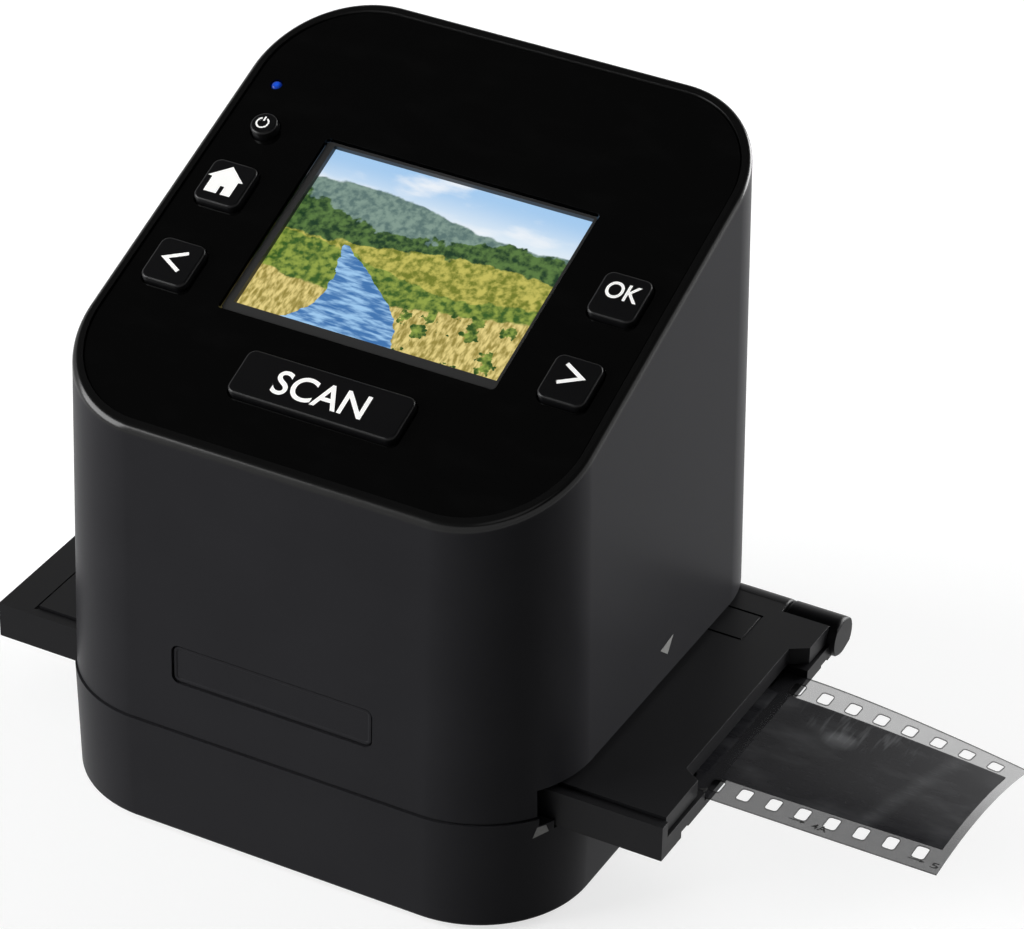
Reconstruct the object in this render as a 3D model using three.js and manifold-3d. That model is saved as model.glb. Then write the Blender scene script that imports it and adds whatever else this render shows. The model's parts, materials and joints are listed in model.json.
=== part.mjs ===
// Film negative scanner: an upright black housing with a tilted glossy control panel,
// a small colour screen, six push buttons, and a hinged film carrier that slides
// through a slot in both side walls with a 35 mm film strip in it.
// Millimetres. X runs to the right, Y to the back, Z up. The origin is the centre of
// the base's underside.
import * as THREE from 'three';
import { mergeVertices } from 'three/addons/utils/BufferGeometryUtils.js';
import Module from 'manifold-3d';

const wasm = await Module();
wasm.setup();

// Housing sizes
const bodyWidth = 87.2;
const bodyDepth = 84;
const bodyCornerRadius = 18.8;
const splitHeight = 19.3;
const upperDraftDegrees = 1.26;
const baseDraftDegrees = 1.37;
const baseStep = 0.3;
const rimCentreHeight = 87.1;
const panelTiltDegrees = 21.95;
const wallThickness = 2.2;
const rimRound = 0.9;
const rimWidth = 1.6;
const seatWidth = 1.2;
const seatThickness = 2;
const splitGap = 0.3;
const lipThickness = 1.2;
const lipHeight = 2;
const floorThickness = 2;
const baseEdgeRound = 0.8;

// Clearance between pieces that touch, and how far a cut runs past a face
const gap = 0.3;
const overrun = 3;

// Film, a strip of 35 mm film
const filmWidth = 35;
const filmThickness = 0.2;
const perforationPitch = 4.75;
const perforationCount = 30;
const perforationLength = 1.98;
const perforationWidth = 2.8;
const perforationRowSpacing = 28.17;
const filmRightEnd = 96.9;
const filmCentreY = 0.6;
const imageLength = 36;
const imageWidth = 24;
const filmBow = 1.5;
const filmDroop = 0.9;

// Film carrier: a frame with a hinged lid
const carrierBottom = 16.8;
const carrierLidTop = 23.3;
const carrierLeft = -56.3;
const carrierRight = 59.5;
const carrierFrontInset = 10.7;
const carrierPlateBottom = 17.5;
const carrierParting = 20.1;
const marginTop = 22.9;
const frontMarginWidth = 1.8;
const leftMarginWidth = 5.9;
const runnerWidth = 6.5;
const runnerGrooveWidth = 2.3;
const runnerGrooveDepth = 1.1;
const channelFloorThickness = 1.1;
const channelRoom = 0.3;
const channelLeftStop = 0.8;
const barrelRadius = 3.3;
const barrelBackInset = 12.5;
const barrelProud = 0.9;
const knuckleLength = 9.2;
const knuckleFaceStep = 0.2;
const hingePinRadius = 1.2;
const hingePinRoom = 0.1;
const lidRightInset = 0.5;
const lidBackStep = 2.6;
const lidNotchDepth = 2.8;
const lidNotchRoom = 0.1;
const lidNotchSplay = 1.8;
const lidRibWidth = 1.5;
const lidRibEndInset = 3;
const lidLift = 0.9;

// Slot through both side walls
const slotFrontRoom = 2.6;
const slotBackRoom = 0.6;
const slotSillHeight = 17.9;

// Guide rails, light box and film gate
const railEndRoom = 9.6;
const railFootWidth = 6.8;
const railWall = 1.2;
const lightBoxWidth = 48;
const lightBoxDepth = 36;
const lightBoxWall = 1.4;
const lightBoxTop = 16.2;
const lightLedgeWidth = 2.1;
const diffuserThickness = 2;
const diffuserDrop = 2;
const backlightBoardThickness = 1.6;
const backlightBoardMargin = 1.5;
const lampWidth = 3.5;
const lampDepth = 2.8;
const lampHeight = 1.5;
const lampFaceRadius = 0.93;
const lampFaceSink = 0.75;
const lampPitch = 13;
const lampCount = 3;
const gateThickness = 1.6;
const gateWindowLength = 37;
const gateWindowWidth = 25;

// Optics
const tunnelFlange = 2;
const tunnelFlangeThickness = 1.5;
const tunnelFootLength = 40;
const tunnelFootWidth = 28;
const tunnelTopSize = 19;
const tunnelTopDrop = 38.5;
const tunnelWall = 1.4;
const lensFlangeRadius = 9;
const lensFlangeThickness = 1.5;
const lensBarrelRadius = 7;
const lensBarrelHeight = 12.7;
const lensBoreRadius = 4.6;
const sensorBoreRadius = 5.6;
const sensorBoreDepth = 3;
const lensRadius = 4.3;
const lensEdgeThickness = 1.2;
const lensCrown = 1;
const lensShoulderShare = 0.75;
const lensLift = 3;
const sensorBoardWidth = 24;
const sensorBoardDepth = 20;
const boardThickness = 1.6;
const sensorWidth = 8;
const sensorDepth = 6.5;
const sensorThickness = 1.2;

// Main board and the sockets in the back wall. The shares are those of the board's spare width
// that lie before the first socket and between the sockets.
const mainBoardSideRoom = 12.6;
const mainBoardBottom = 37;
const mainBoardTopDrop = 3.1;
const mainBoardBackRoom = 5.9;
const boardPostRadius = 2.2;
const boardPostSideInset = 5;
const boardPostInset = 4;
const socketHeight = 48;
const socketSpareShares = [40 / 106, 43 / 106, 13 / 106];
const usbWidth = 8;
const usbTall = 3.4;
const usbShell = 0.5;
const usbTongueTall = 0.8;
const usbTongueWidth = 5;
const videoRadius = 3.4;
const videoBoreRadius = 1.75;
const cardWidth = 26;
const cardTall = 3.6;
const cardSlotWidth = 24.4;
const cardSlotTall = 2.4;
const cardSlotDepth = 3;
const socketInset = 0.3;

// Feet and case screws
const footRadius = 4;
const footProud = 0.8;
const footRecess = 1.1;
const footSideInset = 14.6;
const footEndInset = 14;
const screwX = 18;
const screwWallInset = 4.6;
const screwHeadRadius = 2;
const screwHeadHeight = 1.6;
const screwShankRadius = 1.1;
const screwLength = 28;
const screwSink = 1.2;
const baseBossRadius = 2.9;
const upperBossRadius = 2.7;
const upperBossHeight = 14;

// Panel pieces, in the panel's own plane: U to the right, V up the slope, W out of it
const panelSink = 0.3;
const panelThickness = 1.5;
const panelEdgeGap = 0.25;
const bezelThickness = 2;
const screenSideRoom = 6.225;
const screenEndRoom = 24.5;
const screenOpeningU = -0.1;
const screenOpeningV = -1.9;
const screenOpeningCorner = 0.6;
const screenFrameSink = 0.45;
const screenFrameThickness = 0.85;
const pictureSideBand = 1.2;
const pictureEndBand = 1.4;
const pictureU = 0.35;
const pictureV = -1.3;
const screenGlassThickness = 1.1;
const displaySideMargin = 1.6;
const displayEndMargin = 1.5;
const displayThickness = 3;
const displayPocketRoof = 0.9;
const keyWidth = 7.75;
const keyHeight = 8.3;
const keyCorner = 1.4;
const keyProud = 1.2;
const keyTravel = 0.8;
const keyFlange = 0.7;
const keyFlangeThickness = 0.8;
const keyEdgeRound = 0.35;
const keyStemRadius = 1;
const keyStemEngagement = 0.6;
const keySideInset = 10.1;
const keyPitch = 16.3;
const scanWidth = 28.2;
const scanFrontInset = 12.6;
const powerRadius = 2.15;
const powerProud = 1.5;
const powerKeySpacing = 12.3;
const ledRadius = 0.85;
const ledSideInset = 7.2;
const ledBackInset = 19.4;
const ledPowerSpacing = 8.7;
const ledRoom = 0.15;
const switchSize = 6;
const switchBaseThickness = 0.3;
const switchBoreRoom = 0.2;
const keyBoardSideRoom = 6.6;
const keyBoardFrontRoom = 6;
const keyBoardBackRoom = 12;
const keyBoardCorner = 6;
const bezelPostRadius = 1.8;
const bezelPostKeyRoom = 5;
const bezelPostScanRoom = 7.9;
const bezelPostBackInset = 8.5;
const bezelPostFrontInset = 8;

// Badge plate in the front wall, bare
const badgeWidth = 34.6;
const badgeHeight = 6.8;
const badgeCorner = 1.3;
const badgeX = -0.6;
const badgeZ = 31.6;
const badgePocketDepth = 1;
const badgeSink = 0.25;

// Flat cables
const flexThickness = 0.4;
const flexWidth = 14;
const flexRun = 5;
const flexPad = 6;

// Fineness of round shapes
const cornerSegments = 11;
const roundSegments = 24;
const smallSegments = 14;
const filletSegments = 3;
const edgeSegments = 2;
const ringPasses = 4;

// Worked-out places
const upperSlope = Math.tan(THREE.MathUtils.degToRad(upperDraftDegrees));
const baseSlope = Math.tan(THREE.MathUtils.degToRad(baseDraftDegrees));
const tilt = THREE.MathUtils.degToRad(panelTiltDegrees);
const sideX = bodyWidth / 2;
const endY = bodyDepth / 2;
const seatDepth = panelSink + panelThickness + gap;
const baseTop = splitHeight - splitGap / 2;
const upperBottom = splitHeight + splitGap / 2;
const carrierFront = carrierFrontInset - endY;
const barrelY = endY - barrelBackInset;
const lidBackEdge = barrelY - lidBackStep;
const lidNotchFrontY = filmCentreY - filmWidth / 2 - lidNotchRoom;
const lidNotchBackY = filmCentreY + filmWidth / 2 + lidNotchRoom;
const carrierRunHeight = carrierLidTop + lidLift;
const channelFloor = carrierPlateBottom + channelFloorThickness;
const filmBottom = channelFloor + gap;
const filmLength = perforationPitch * perforationCount;
const filmLeftEnd = filmRightEnd - filmLength;
const barrelZ = carrierBottom + barrelRadius;
const carrierBack = barrelY + barrelRadius;
const carrierLidBottom = carrierParting + gap;
const guideTop = carrierBottom - gap;
const floorTop = floorThickness;
const seatOnFloor = floorTop + gap;
const gateBottom = carrierRunHeight;
const gateTop = gateBottom + gateThickness;
const railHalfLength = sideX - railEndRoom;
const mainBoardWidth = bodyWidth - 2 * mainBoardSideRoom;
const mainBoardTop = rimCentreHeight - mainBoardTopDrop;
const mainBoardBack = endY - mainBoardBackRoom;
const boardPostX = mainBoardWidth / 2 - boardPostSideInset;
const socketSpare = mainBoardWidth - usbWidth - 2 * videoRadius - cardWidth;
const [usbRoom, videoRoom, cardRoom] = socketSpareShares.map((share) => share * socketSpare);
const usbX = usbRoom + (usbWidth - mainBoardWidth) / 2;
const videoX = usbX + usbWidth / 2 + videoRoom + videoRadius;
const cardX = videoX + videoRadius + cardRoom + cardWidth / 2;
const footX = sideX - footSideInset;
const footY = endY - footEndInset;
const screwY = endY - screwWallInset;
const keyU = sideX - keySideInset;
const ledU = ledSideInset - sideX;
const ledV = endY - ledBackInset;
const powerV = ledV - ledPowerSpacing;
const upperKeyV = powerV - powerKeySpacing;
const lowerKeyV = upperKeyV - keyPitch;
const scanV = scanFrontInset - endY;
const screenOpeningWidth = 2 * (keyU - keyWidth / 2 - screenSideRoom);
const screenOpeningHeight = bodyDepth - 2 * screenEndRoom;
const pictureWidth = screenOpeningWidth - 2 * pictureSideBand;
const pictureHeight = screenOpeningHeight - 2 * pictureEndBand;
const displayWidth = screenOpeningWidth + 2 * displaySideMargin;
const displayHeight = screenOpeningHeight + 2 * displayEndMargin;
const keyBoardWidth = bodyWidth - 2 * keyBoardSideRoom;
const keyBoardFront = keyBoardFrontRoom - endY;
const keyBoardBack = endY - keyBoardBackRoom;
const bezelPostU = keyU - bezelPostKeyRoom;
const bezelPostFrontU = scanWidth / 2 + bezelPostScanRoom;
const bezelPostBackV = keyBoardBack - bezelPostBackInset;
const bezelPostFrontV = keyBoardFront + bezelPostFrontInset;
const panelMatrix = new THREE.Matrix4()
  .makeRotationX(tilt)
  .setPosition(0, 0, rimCentreHeight);

// A closed solid from a geometry, and a geometry from a solid
function solid(geometry) {
  const bare = geometry.clone();
  bare.deleteAttribute('normal');
  bare.deleteAttribute('uv');
  const merged = mergeVertices(bare);
  return new wasm.Manifold(new wasm.Mesh({
    numProp: 3,
    vertProperties: new Float32Array(merged.attributes.position.array),
    triVerts: new Uint32Array(merged.index.array),
  }));
}

function geometryOf(body) {
  const mesh = body.getMesh();
  const geometry = new THREE.BufferGeometry();
  geometry.setAttribute('position', new THREE.BufferAttribute(new Float32Array(mesh.vertProperties), 3));
  geometry.setIndex(new THREE.BufferAttribute(new Uint32Array(mesh.triVerts), 1));
  geometry.computeVertexNormals();
  return geometry;
}

// Joins the first list of geometries and cuts the second list from them
function shape(joined, cuts = []) {
  let body = solid(joined[0]);
  for (const piece of joined.slice(1)) body = body.add(solid(piece));
  for (const tool of cuts) body = body.subtract(solid(tool));
  return geometryOf(body);
}

// A box between two corners
function block(low, high) {
  const size = low.map((start, axis) => high[axis] - start);
  const centre = low.map((start, axis) => (high[axis] + start) / 2);
  return new THREE.BoxGeometry(...size).translate(...centre);
}

// An upright round rod
function rod(radius, x, y, bottom, top, segments = smallSegments) {
  return new THREE.CylinderGeometry(radius, radius, top - bottom, segments)
    .rotateX(Math.PI / 2)
    .translate(x, y, (bottom + top) / 2);
}

// A round rod along X, with a flat of its facets underneath
function rodAlongX(radius, left, right, y, z, segments = roundSegments) {
  return new THREE.CylinderGeometry(radius, radius, right - left, segments)
    .rotateY(Math.PI / segments)
    .rotateZ(Math.PI / 2)
    .translate((left + right) / 2, y, z);
}

// A round rod along Y
function rodAlongY(radius, x, front, back, z, segments = roundSegments) {
  return new THREE.CylinderGeometry(radius, radius, back - front, segments)
    .translate(x, (front + back) / 2, z);
}

// The outline of a rectangle with round corners, about a centre
function roundedOutline(width, height, radius, centreU = 0, centreV = 0) {
  const outline = new THREE.Shape();
  const right = width / 2 - radius;
  const top = height / 2 - radius;
  outline.absarc(centreU + right, centreV + top, radius, 0, Math.PI / 2);
  outline.absarc(centreU - right, centreV + top, radius, Math.PI / 2, Math.PI);
  outline.absarc(centreU - right, centreV - top, radius, Math.PI, Math.PI * 1.5);
  outline.absarc(centreU + right, centreV - top, radius, Math.PI * 1.5, Math.PI * 2);
  return outline;
}

// A slab with round corners between two heights
function slab(width, height, radius, centreU, centreV, bottom, top) {
  return new THREE.ExtrudeGeometry(roundedOutline(width, height, radius, centreU, centreV), {
    depth: top - bottom, bevelEnabled: false, curveSegments: filletSegments,
  }).translate(0, 0, bottom);
}

// A profile in the YZ plane, run along X between two ends
function alongX(points, left, right) {
  const outline = new THREE.Shape(points.map(([y, z]) => new THREE.Vector2(y, z)));
  return new THREE.ExtrudeGeometry(outline, { depth: right - left, bevelEnabled: false })
    .rotateY(Math.PI / 2)
    .rotateX(Math.PI / 2)
    .translate(left, 0, 0);
}

// A flat cable of constant thickness along a path in the YZ plane
function flatCable(path, thickness, left, right) {
  const back = path.map(([y, z], index) => {
    const before = path[Math.max(index - 1, 0)];
    const after = path[Math.min(index + 1, path.length - 1)];
    const run = new THREE.Vector2(after[0] - before[0], after[1] - before[1]).normalize();
    return [y - run.y * thickness, z + run.x * thickness];
  });
  return alongX([...path, ...back.reverse()], left, right);
}

// One ring of the housing's plan outline. The inset comes on top of the wall's draft,
// and the height may follow the tilted panel.
function planRing(inset, draftInset, heightAt) {
  const ring = [];
  const cornerX = sideX - bodyCornerRadius;
  const cornerY = endY - bodyCornerRadius;
  const corners = [[1, 1], [-1, 1], [-1, -1], [1, -1]];
  corners.forEach(([signX, signY], quarter) => {
    for (let step = 0; step <= cornerSegments; step += 1) {
      const angle = (quarter + step / cornerSegments) * Math.PI / 2;
      let z = heightAt(0);
      let x = 0;
      let y = 0;
      for (let pass = 0; pass < ringPasses; pass += 1) {
        const radius = bodyCornerRadius - inset - draftInset(z);
        x = signX * cornerX + Math.cos(angle) * radius;
        y = signY * cornerY + Math.sin(angle) * radius;
        z = heightAt(y);
      }
      ring.push([x, y, z]);
    }
  });
  return ring;
}

// A closed skin over rings of equal count: a loop of rings, or a stack with two flat caps
function loft(rings, looped) {
  const count = rings[0].length;
  const positions = rings.flat(2);
  const triangles = [];
  const last = looped ? rings.length : rings.length - 1;
  for (let row = 0; row < last; row += 1) {
    const lower = row * count;
    const upper = ((row + 1) % rings.length) * count;
    for (let step = 0; step < count; step += 1) {
      const next = (step + 1) % count;
      triangles.push(lower + step, lower + next, upper + next);
      triangles.push(lower + step, upper + next, upper + step);
    }
  }
  if (!looped) {
    const top = (rings.length - 1) * count;
    for (let step = 1; step < count - 1; step += 1) {
      triangles.push(0, step + 1, step);
      triangles.push(top, top + step, top + step + 1);
    }
  }
  const geometry = new THREE.BufferGeometry();
  geometry.setAttribute('position', new THREE.Float32BufferAttribute(positions, 3));
  geometry.setIndex(triangles);
  return geometry;
}

const upperDraftInset = (z) => (z - splitHeight) * upperSlope;
const baseDraftInset = (z) => (splitHeight - z) * baseSlope - baseStep;
const level = (z) => () => z;
const belowRim = (depth) => (y) => rimCentreHeight + Math.tan(tilt) * y - depth / Math.cos(tilt);
const upperRing = (inset, heightAt) => planRing(inset, upperDraftInset, heightAt);
const baseRing = (inset, height) => planRing(inset, baseDraftInset, level(height));
const onPanel = (geometry) => geometry.applyMatrix4(panelMatrix);
const frontWallY = (z) => endY - upperDraftInset(z);

const screwPlaces = [[-screwX, -screwY], [screwX, -screwY], [-screwX, screwY], [screwX, screwY]];
const footPlaces = [[-footX, -footY], [footX, -footY], [-footX, footY], [footX, footY]];

// The slot that the film carrier runs in, cut through both side walls
function carrierSlot() {
  const reach = sideX + overrun;
  return [
    block([-reach, carrierFront - gap, guideTop], [reach, carrierBack + gap, carrierRunHeight]),
    block([-reach, carrierFront - slotFrontRoom, slotSillHeight],
      [reach, carrierBack + slotBackRoom, carrierRunHeight]),
  ];
}

// Upper housing: a shell with a seat for the panel under its rim
function upperHousing() {
  const rimRings = [];
  for (let step = 0; step <= filletSegments; step += 1) {
    const angle = step / filletSegments * Math.PI / 2;
    const inset = rimRound * (1 - Math.cos(angle));
    const depth = rimRound * (1 - Math.sin(angle));
    rimRings.push(upperRing(inset, belowRim(depth)));
  }
  const seatInset = rimWidth + seatWidth;
  const seatBottom = seatDepth + seatThickness;
  const shell = loft([
    upperRing(0, level(upperBottom)),
    ...rimRings,
    upperRing(rimWidth, belowRim(0)),
    upperRing(rimWidth, belowRim(seatDepth)),
    upperRing(seatInset, belowRim(seatDepth)),
    upperRing(seatInset, belowRim(seatBottom)),
    upperRing(wallThickness, belowRim(seatBottom + seatInset - wallThickness)),
    upperRing(wallThickness, level(upperBottom)),
  ], true);
  const bosses = screwPlaces.map(([x, y]) => (
    rod(upperBossRadius, x, y, upperBottom, upperBottom + upperBossHeight)));
  const innerBack = endY - wallThickness / 2;
  const posts = [mainBoardBottom + boardPostInset, mainBoardTop - boardPostInset].flatMap((z) => (
    [-boardPostX, boardPostX].map((x) => (
      rodAlongY(boardPostRadius, x, mainBoardBack + gap, innerBack - upperDraftInset(z), z,
        smallSegments)))));
  const holeTop = screwSink + screwHeadHeight + screwLength + gap;
  const holes = screwPlaces.map(([x, y]) => (
    rod(screwShankRadius + gap, x, y, upperBottom - overrun, holeTop)));
  const backReach = endY + overrun;
  const socketHole = (x, width, tall) => block(
    [x - width / 2 - gap, mainBoardBack + gap, socketHeight - tall / 2 - gap],
    [x + width / 2 + gap, backReach, socketHeight + tall / 2 + gap]);
  const sockets = [
    socketHole(usbX, usbWidth, usbTall),
    socketHole(cardX, cardWidth, cardTall),
    rodAlongY(videoRadius + gap, videoX, mainBoardBack + gap, backReach, socketHeight),
  ];
  return shape([shell, ...bosses, ...posts], [...carrierSlot(), ...holes, ...sockets, badgePocket()]);
}

// The shallow pocket for the badge plate, cut into the front wall
function badgePocket() {
  return badgeSlab(badgeWidth, badgeHeight, badgeCorner, -badgePocketDepth, overrun)
    .applyMatrix4(badgeMatrix());
}

function badgeSlab(width, height, radius, bottom, top) {
  return slab(width, height, radius, 0, 0, bottom, top);
}

// Puts a slab whose top looks along +Z onto the drafted front wall
function badgeMatrix() {
  return new THREE.Matrix4()
    .makeRotationX(Math.PI / 2 - THREE.MathUtils.degToRad(upperDraftDegrees))
    .setPosition(badgeX, -frontWallY(badgeZ), badgeZ);
}

// Base housing: a tray with a tongue that stands inside the upper housing
function baseHousing() {
  const tongueOuter = wallThickness + gap;
  const tongueInner = tongueOuter + lipThickness;
  const edgeRings = [];
  for (let step = 0; step <= filletSegments; step += 1) {
    const angle = step / filletSegments * Math.PI / 2;
    const inset = baseEdgeRound * (1 - Math.sin(angle));
    edgeRings.push(baseRing(inset, baseEdgeRound * (1 - Math.cos(angle))));
  }
  const shell = loft([
    ...edgeRings,
    baseRing(0, baseTop),
    upperRing(tongueOuter, level(baseTop)),
    upperRing(tongueOuter, level(baseTop + lipHeight)),
    upperRing(tongueInner, level(baseTop + lipHeight)),
    upperRing(tongueInner, level(baseTop - lipHeight)),
    baseRing(wallThickness, baseTop - lipHeight - lipThickness),
    baseRing(wallThickness, floorTop),
  ], false);
  const bosses = screwPlaces.map(([x, y]) => (
    rod(baseBossRadius, x, y, floorTop - floorThickness / 2, baseTop)));
  const holes = screwPlaces.flatMap(([x, y]) => [
    rod(screwShankRadius + gap, x, y, -overrun, baseTop + overrun),
    rod(screwHeadRadius + gap, x, y, -overrun, screwSink + screwHeadHeight + gap),
    rod(upperBossRadius + gap, x, y, baseTop, baseTop + overrun),
  ]);
  const recesses = footPlaces.map(([x, y]) => (
    rod(footRadius + gap, x, y, -overrun, footRecess, roundSegments)));
  return shape([shell, ...bosses], [...carrierSlot(), ...holes, ...recesses]);
}

// Rubber foot, domed a little at its rim
function foot() {
  const top = footRecess - gap;
  const profile = [
    [0, -footProud], [footRadius - baseEdgeRound / 2, -footProud], [footRadius, -footProud / 2],
    [footRadius, top], [0, top],
  ];
  return new THREE.LatheGeometry(profile.map(([r, z]) => new THREE.Vector2(r, z)), roundSegments)
    .rotateX(Math.PI / 2);
}

// Case screw, its head down in the base
function caseScrew() {
  const head = screwHeadHeight;
  const tip = head + screwLength;
  const profile = [
    [0, 0], [screwHeadRadius, 0], [screwHeadRadius, head], [screwShankRadius, head],
    [screwShankRadius, tip - screwShankRadius], [0, tip],
  ];
  return new THREE.LatheGeometry(profile.map(([r, z]) => new THREE.Vector2(r, z)), smallSegments)
    .rotateX(Math.PI / 2);
}

// Guide rail: an upturned channel that carries one side of the film carrier, with a
// fence that keeps it in line and holds up the film gate
function guideRail(fenceInner, side) {
  const outer = fenceInner + side * railWall;
  const footEnd = fenceInner - side * railFootWidth;
  const roof = guideTop - railWall;
  const points = [
    [outer, seatOnFloor], [outer, gateBottom - gap], [fenceInner, gateBottom - gap], [fenceInner, guideTop],
    [footEnd, guideTop], [footEnd, seatOnFloor], [footEnd + side * railWall, seatOnFloor],
    [footEnd + side * railWall, roof], [fenceInner, roof], [fenceInner, seatOnFloor],
  ];
  return alongX(points, -railHalfLength, railHalfLength);
}

// Light box: a tray open at the top, with a ledge for the diffuser
function lightBox() {
  const halfWidth = lightBoxWidth / 2;
  const halfDepth = lightBoxDepth / 2;
  const ledge = lightBoxTop - diffuserDrop - diffuserThickness - gap;
  const wall = lightBoxWall;
  const inner = lightBoxWall + lightLedgeWidth;
  const y = filmCentreY;
  return shape([block([-halfWidth, y - halfDepth, seatOnFloor], [halfWidth, y + halfDepth, lightBoxTop])], [
    block([-halfWidth + inner, y - halfDepth + inner, seatOnFloor + wall],
      [halfWidth - inner, y + halfDepth - inner, lightBoxTop + overrun]),
    block([-halfWidth + wall, y - halfDepth + wall, ledge],
      [halfWidth - wall, y + halfDepth - wall, lightBoxTop + overrun]),
  ]);
}

function diffuser() {
  const bottom = lightBoxTop - diffuserDrop - diffuserThickness;
  const halfWidth = lightBoxWidth / 2 - lightBoxWall - gap;
  const halfDepth = lightBoxDepth / 2 - lightBoxWall - gap;
  return block([-halfWidth, filmCentreY - halfDepth, bottom],
    [halfWidth, filmCentreY + halfDepth, bottom + diffuserThickness]);
}

const backlightBoardBottom = seatOnFloor + lightBoxWall + gap;
const lampBottom = backlightBoardBottom + backlightBoardThickness + gap;

function backlightBoard() {
  const margin = lightBoxWall + lightLedgeWidth + backlightBoardMargin;
  const halfWidth = lightBoxWidth / 2 - margin;
  const halfDepth = lightBoxDepth / 2 - margin;
  return block([-halfWidth, filmCentreY - halfDepth, backlightBoardBottom],
    [halfWidth, filmCentreY + halfDepth, backlightBoardBottom + backlightBoardThickness]);
}

// White lamp with a sunk face
function lamp() {
  const halfWidth = lampWidth / 2;
  const halfDepth = lampDepth / 2;
  return shape([block([-halfWidth, -halfDepth, 0], [halfWidth, halfDepth, lampHeight])],
    [rod(lampFaceRadius, 0, 0, lampHeight - lampFaceSink, lampHeight + overrun)]);
}

// Film gate: the upper guide plate, lying on the fences, with the light's window
function filmGate() {
  const front = carrierFront - gap - railWall;
  const back = carrierBack + gap + railWall;
  const y = filmCentreY;
  return shape([block([-railHalfLength, front, gateBottom], [railHalfLength, back, gateTop])], [
    block([-gateWindowLength / 2, y - gateWindowWidth / 2, gateBottom - overrun],
      [gateWindowLength / 2, y + gateWindowWidth / 2, gateTop + overrun]),
  ]);
}

const tunnelBottom = gateTop + gap;
const tunnelTop = rimCentreHeight - tunnelTopDrop;

// A four-sided taper between two levels
function taper(lowLength, lowWidth, lowHeight, highLength, highWidth, highHeight) {
  const ring = (length, width, z) => [[1, 1], [-1, 1], [-1, -1], [1, -1]]
    .map(([signX, signY]) => [signX * length / 2, filmCentreY + signY * width / 2, z]);
  return loft([ring(lowLength, lowWidth, lowHeight), ring(highLength, highWidth, highHeight)], false);
}

// Light tunnel between the gate and the lens: a hollow taper with a foot flange
function lightTunnel() {
  const flangeTop = tunnelBottom + tunnelFlangeThickness;
  const halfLength = tunnelFootLength / 2 + tunnelFlange;
  const halfWidth = tunnelFootWidth / 2 + tunnelFlange;
  const thin = 2 * tunnelWall;
  return shape([
    block([-halfLength, filmCentreY - halfWidth, tunnelBottom],
      [halfLength, filmCentreY + halfWidth, flangeTop]),
    taper(tunnelFootLength, tunnelFootWidth, tunnelBottom, tunnelTopSize, tunnelTopSize, tunnelTop),
  ], [
    taper(tunnelFootLength - thin, tunnelFootWidth - thin, tunnelBottom - overrun,
      tunnelTopSize - thin, tunnelTopSize - thin, tunnelTop - tunnelWall),
    rod(lensBoreRadius, 0, filmCentreY, tunnelTop - tunnelWall - overrun, tunnelTop + overrun, roundSegments),
  ]);
}

const lensBottom = tunnelTop + gap;
const lensTop = lensBottom + lensBarrelHeight;

// Lens barrel: flanged tube, wider inside at the top for the sensor
function lensBarrel() {
  const profile = [
    [lensBoreRadius, 0], [lensFlangeRadius, 0], [lensFlangeRadius, lensFlangeThickness],
    [lensBarrelRadius, lensFlangeThickness], [lensBarrelRadius, lensBarrelHeight],
    [sensorBoreRadius, lensBarrelHeight], [sensorBoreRadius, lensBarrelHeight - sensorBoreDepth],
    [lensBoreRadius, lensBarrelHeight - sensorBoreDepth], [lensBoreRadius, 0],
  ];
  return new THREE.LatheGeometry(profile.map(([r, z]) => new THREE.Vector2(r, z)), roundSegments)
    .rotateX(Math.PI / 2);
}

// Lens element, crowned on both faces
function lensElement() {
  const shoulder = lensCrown * lensShoulderShare;
  const profile = [[0, -lensCrown], [lensRadius / 2, -shoulder], [lensRadius, 0],
    [lensRadius, lensEdgeThickness], [lensRadius / 2, lensEdgeThickness + shoulder],
    [0, lensEdgeThickness + lensCrown]];
  return new THREE.LatheGeometry(profile.map(([r, z]) => new THREE.Vector2(r, z)), roundSegments)
    .rotateX(Math.PI / 2);
}

const sensorBoardBottom = lensTop + gap;

function sensorBoard() {
  return block([-sensorBoardWidth / 2, filmCentreY - sensorBoardDepth / 2, sensorBoardBottom],
    [sensorBoardWidth / 2, filmCentreY + sensorBoardDepth / 2, sensorBoardBottom + boardThickness]);
}

function imageSensor() {
  return block([-sensorWidth / 2, filmCentreY - sensorDepth / 2, lensTop - sensorThickness],
    [sensorWidth / 2, filmCentreY + sensorDepth / 2, lensTop]);
}

// Main board, upright on four posts of the back wall
function mainBoard() {
  return block([-mainBoardWidth / 2, mainBoardBack - boardThickness, mainBoardBottom],
    [mainBoardWidth / 2, mainBoardBack, mainBoardTop]);
}

const socketBack = frontWallY(socketHeight) - socketInset;
const socketFront = mainBoardBack + gap;

// Small supply and data socket: a metal shell round a tongue
function usbSocket() {
  const halfWidth = usbWidth / 2;
  const halfTall = usbTall / 2;
  const pocket = socketFront + usbShell;
  return shape([block([usbX - halfWidth, socketFront, socketHeight - halfTall],
    [usbX + halfWidth, socketBack, socketHeight + halfTall])], [
    shape([block([usbX - halfWidth + usbShell, pocket, socketHeight - halfTall + usbShell],
      [usbX + halfWidth - usbShell, socketBack + overrun, socketHeight + halfTall - usbShell])], [
      block([usbX - usbTongueWidth / 2, pocket - overrun, socketHeight - usbTongueTall / 2],
        [usbX + usbTongueWidth / 2, socketBack - usbShell, socketHeight + usbTongueTall / 2]),
    ]),
  ]);
}

// Round video jack
function videoJack() {
  return shape([rodAlongY(videoRadius, videoX, socketFront, socketBack, socketHeight)],
    [rodAlongY(videoBoreRadius, videoX, socketFront + usbShell, socketBack + overrun, socketHeight,
      smallSegments)]);
}

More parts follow.
